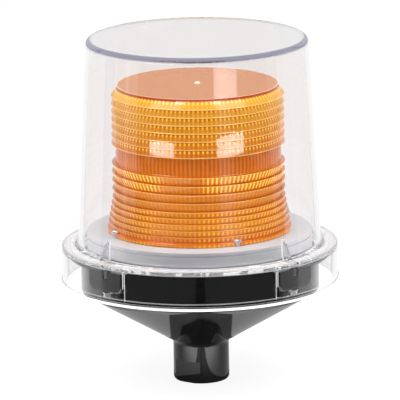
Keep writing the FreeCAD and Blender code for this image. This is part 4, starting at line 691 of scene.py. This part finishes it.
def hub_thread():
    """The ridge of the 1 inch pipe thread, wound up the hub's bore. Its two ends are left open."""
    start = base_low.z + THREAD_START
    middle = start + THREAD_HALF
    root, crest = BORE_RADIUS + THREAD_ROOT, BORE_RADIUS - THREAD_DEPTH
    thing = draw_profile("hub_thread", [(root, start), (crest, middle - THREAD_CREST),
                                        (crest, middle + THREAD_CREST), (root, start + 2 * THREAD_HALF)])
    bpy.ops.mesh.select_all(action="SELECT")
    bpy.ops.mesh.edge_face_add()
    leave_edit()
    winding = thing.modifiers.new("winding", "SCREW")
    winding.axis = "Z"
    winding.angle = 2 * math.pi
    winding.screw_offset = THREAD_PITCH
    winding.iterations = THREAD_TURNS
    winding.steps = winding.render_steps = THREAD_STEPS
    bpy.ops.object.modifier_apply(modifier="winding")
    edit(thing)
    bpy.ops.mesh.select_all(action="SELECT")
    bpy.ops.mesh.remove_doubles(threshold=WELD / 2)
    bpy.ops.mesh.normals_make_consistent(inside=False)
    leave_edit()
    return finish_piece(thing, "base", "cast_black", smooth_angle=40.0)


hub_thread()


# ---------------------------------------------------------------- studio

WORLD_LEVEL = 0.65
ROOM_BACK, ROOM_UP = (-0.8, -0.1, 0.05, 1.0), (0.02, 0.12, 0.45, 0.85)
FLOOR_GLOW, FLOOR_GLOW_SHARE = 1.08, 0.82

# Edges of what gloss sees of the floor, in metres from the axis or along one direction.
FRONT_EDGE = (-0.12, 0.0)
DARK_EDGE, UNDER_EDGE = (0.26, 0.34), (0.16, 0.28)
BOARD_EDGE, SEAM_EDGE = (0.033, 0.035), (0.0045, 0.0055)
WALL_EDGE = (1.0, 1.3)
DARKEST, UNDER_LEVEL, FRONT_GAIN = 0.96, 0.5, 2
BOARD_LEVEL, SEAM_LEVEL = 0.2, 0.75

# Pale bands that gloss sees far out in front, as angles to the right of the front in radians.
BAND_LEFT, BAND_MIDDLE, BAND_RIGHT = (-1.3, -1.1, 0.05), (0.34, 0.5, 0.04), (1.25, 1.3)
MIDDLE_LEVEL, RIGHT_LEVEL = 0.45, 0.7


def seen_in_gloss(graph):
    """1 for rays thrown back by a glossy surface."""
    return light_path(graph, "Is Glossy Ray") * light_path(graph, "Is Reflection Ray")


def seen_directly(graph):
    """1 for rays from the eye and through glass."""
    return graph.math("ADD", light_path(graph, "Is Camera Ray"), light_path(graph, "Is Transmission Ray"),
                      clamp=True)


def white_world():
    """White for the eye and behind the beacon, dark in front of it where only its gloss sees the room."""
    world = bpy.data.worlds.new("studio")
    bpy.context.scene.world = world
    world.use_nodes = True
    world.node_tree.nodes.clear()
    graph = Shade(world.node_tree)
    along, up = parts_of(graph.make("ShaderNodeTexCoord", output="Generated"))[1:]
    room = smooth(along, *ROOM_BACK) * smooth(up, *ROOM_UP)
    unseen = linear(seen_in_gloss(graph), 0, 1, WORLD_LEVEL, room)
    strength = linear(seen_directly(graph), 0, 1, unseen, 1.0)
    background = graph.make("ShaderNodeBackground", None, {"Color": (1, 1, 1, 1), "Strength": strength})
    graph.make("ShaderNodeOutputWorld", None, {"Surface": background})


def floor_in_gloss(across, along):
    """Brightness of the floor in gloss: white behind the beacon, dark in front with pale bands far out."""
    side = across.math("ABSOLUTE", across)
    far = radius_of(across, along)
    in_front = 1 - smooth(along, *FRONT_EDGE)
    dark = smooth(far, *DARK_EDGE) * in_front * DARKEST
    under = (1 - in_front) * (1 - smooth(far, *UNDER_EDGE))
    table = (1 - dark) * (1 - under * UNDER_LEVEL) * (1 + in_front * FRONT_GAIN)
    board = smooth(side, *BOARD_EDGE, BOARD_LEVEL, 1.0) * smooth(side, *SEAM_EDGE, SEAM_LEVEL, 1.0)
    turn = side.math("ARCTAN2", across, 0 - along)
    bands = band(turn, *BAND_LEFT) + band(turn, *BAND_MIDDLE) * MIDDLE_LEVEL
    bands = bands + smooth(turn, *BAND_RIGHT) * RIGHT_LEVEL
    wall = smooth(far, *WALL_EDGE) * in_front * bands
    return table * board + wall


def pale_floor():
    """A white table that keeps a faint shadow, with a look of its own in the beacon's gloss."""
    bpy.ops.mesh.primitive_plane_add(size=30, location=(0, 0, 0))
    floor = bpy.context.object
    floor.name = "floor"
    material, graph = new_material("floor_white")
    place = object_place(graph)
    across, along = parts_of(place)[:2]
    grey = blend(noise(place, scale=3), (0.90, 0.90, 0.90), (0.93, 0.93, 0.93))
    lit = graph.make("ShaderNodeBsdfDiffuse", None, {"Color": grey})
    glow = graph.make("ShaderNodeEmission", None, {"Color": (1, 1, 1, 1), "Strength": FLOOR_GLOW})
    mirrored = graph.make("ShaderNodeEmission", None,
                          {"Color": (1, 1, 1, 1), "Strength": floor_in_gloss(across, along)})
    seen = mix_shaders(seen_directly(graph) * FLOOR_GLOW_SHARE, lit, glow)
    end_material(graph, mix_shaders(seen_in_gloss(graph), seen, mirrored))
    floor.data.materials.append(material)


BEACON_MIDDLE = (0, 0, 0.17)


def soft_lamp(name, azimuth, elevation, distance, width, height, level, middle=BEACON_MIDDLE, only=None,
              glare=False):
    """A softbox that faces the beacon. Azimuth 0 is the front, 90 the right side. Its level is the
    brightness that a white surface facing it takes from it. Given pieces, it lights only those, and a
    glare lamp shows only in their gloss."""
    turn, rise = math.radians(azimuth), math.radians(elevation)
    away = Vector((math.sin(turn) * math.cos(rise), -math.cos(turn) * math.cos(rise), math.sin(rise)))
    data = bpy.data.lights.new(name, "AREA")
    data.shape = "RECTANGLE"
    data.size, data.size_y = width, height
    data.energy = level * (math.pi * distance) ** 2
    lamp = bpy.data.objects.new(name, data)
    bpy.context.collection.objects.link(lamp)
    facing = away.to_track_quat("Z", "Y").to_matrix().to_4x4()
    lamp.matrix_world = Matrix.Translation(Vector(middle) + away * distance) @ facing
    lamp.visible_camera = False
    lamp.visible_transmission = False
    lamp.visible_diffuse = not glare
    if only:
        lit = bpy.data.collections.new(name + "_lit")
        for piece in only:
            lit.objects.link(piece)
        lamp.light_linking.receiver_collection = lit


LENS_MIDDLE = (0, 0, 0.205)
WINDOW_SPOT = (0.027, 0, 0.2475)

# Name, azimuth, elevation, distance, width, height and level of each lamp.
GLARE_LAMPS = (
    ("glare_left", -47.5, 4.0, 0.8, 0.48, 0.14, 1.5),
    ("glare_right", 42.0, 7.0, 0.8, 0.52, 0.21, 2.3),
    ("line_left", -50, 40, 1.0, 0.75, 0.10, 0.6),
    ("line_middle", 0, 40, 1.0, 0.9, 0.10, 0.7),
    ("line_right", 50, 40, 1.0, 0.75, 0.10, 0.6),
    ("crown", 0, 72, 1.0, 0.8, 0.25, 0.8))
WINDOW_LAMP = ("window", 180, 12.75, 0.5, 0.022, 0.05, 0.0012)
ROOM_LAMPS = (
    ("side_left", -58, 50, 1.3, 0.7, 0.7, 0.55),
    ("side_right", 58, 50, 1.3, 0.7, 0.7, 0.55),
    ("top", 0, 85, 1.4, 1.1, 1.1, 0.45))


def studio(lens):
    """World, floor and lamps. Glare lamps show in the lens's gloss only, room lamps spare the dome."""
    white_world()
    pale_floor()
    for lamp in GLARE_LAMPS:
        soft_lamp(*lamp, middle=LENS_MIDDLE, only=[lens], glare=True)
    soft_lamp(*WINDOW_LAMP, middle=WINDOW_SPOT, only=[lens], glare=True)
    solid = [thing for thing in bpy.data.objects if thing.type == "MESH" and thing != NODES["outer_dome"]]
    for lamp in ROOM_LAMPS:
        soft_lamp(*lamp, only=solid)


CAMERA_RISE, CAMERA_ROLL = math.radians(12.7507), math.radians(-0.8345)
CAMERA_DISTANCE, CAMERA_AIM = 4.37317, 0.150
CAMERA_LENS, CAMERA_SENSOR = 481.27, 36
CAMERA_SHIFT = (0.0023, -0.0005)
CAMERA_REACH = 100


def place_camera():
    """A long lens a little above the flange, turned by a small roll."""
    data = bpy.data.cameras.new("camera")
    data.sensor_width = CAMERA_SENSOR
    data.lens = CAMERA_LENS
    data.shift_x, data.shift_y = CAMERA_SHIFT
    data.clip_end = CAMERA_REACH
    camera = bpy.data.objects.new("camera", data)
    bpy.context.collection.objects.link(camera)
    back, rise = CAMERA_DISTANCE * math.cos(CAMERA_RISE), CAMERA_DISTANCE * math.sin(CAMERA_RISE)
    look = Matrix.Rotation(math.pi / 2 - CAMERA_RISE, 4, "X") @ Matrix.Rotation(CAMERA_ROLL, 4, "Z")
    camera.matrix_world = Matrix.Translation(Vector((0, -back, CAMERA_AIM + rise))) @ look
    bpy.context.scene.camera = camera


studio(LENS)
place_camera()
bpy.context.scene.view_settings.view_transform = "Standard"
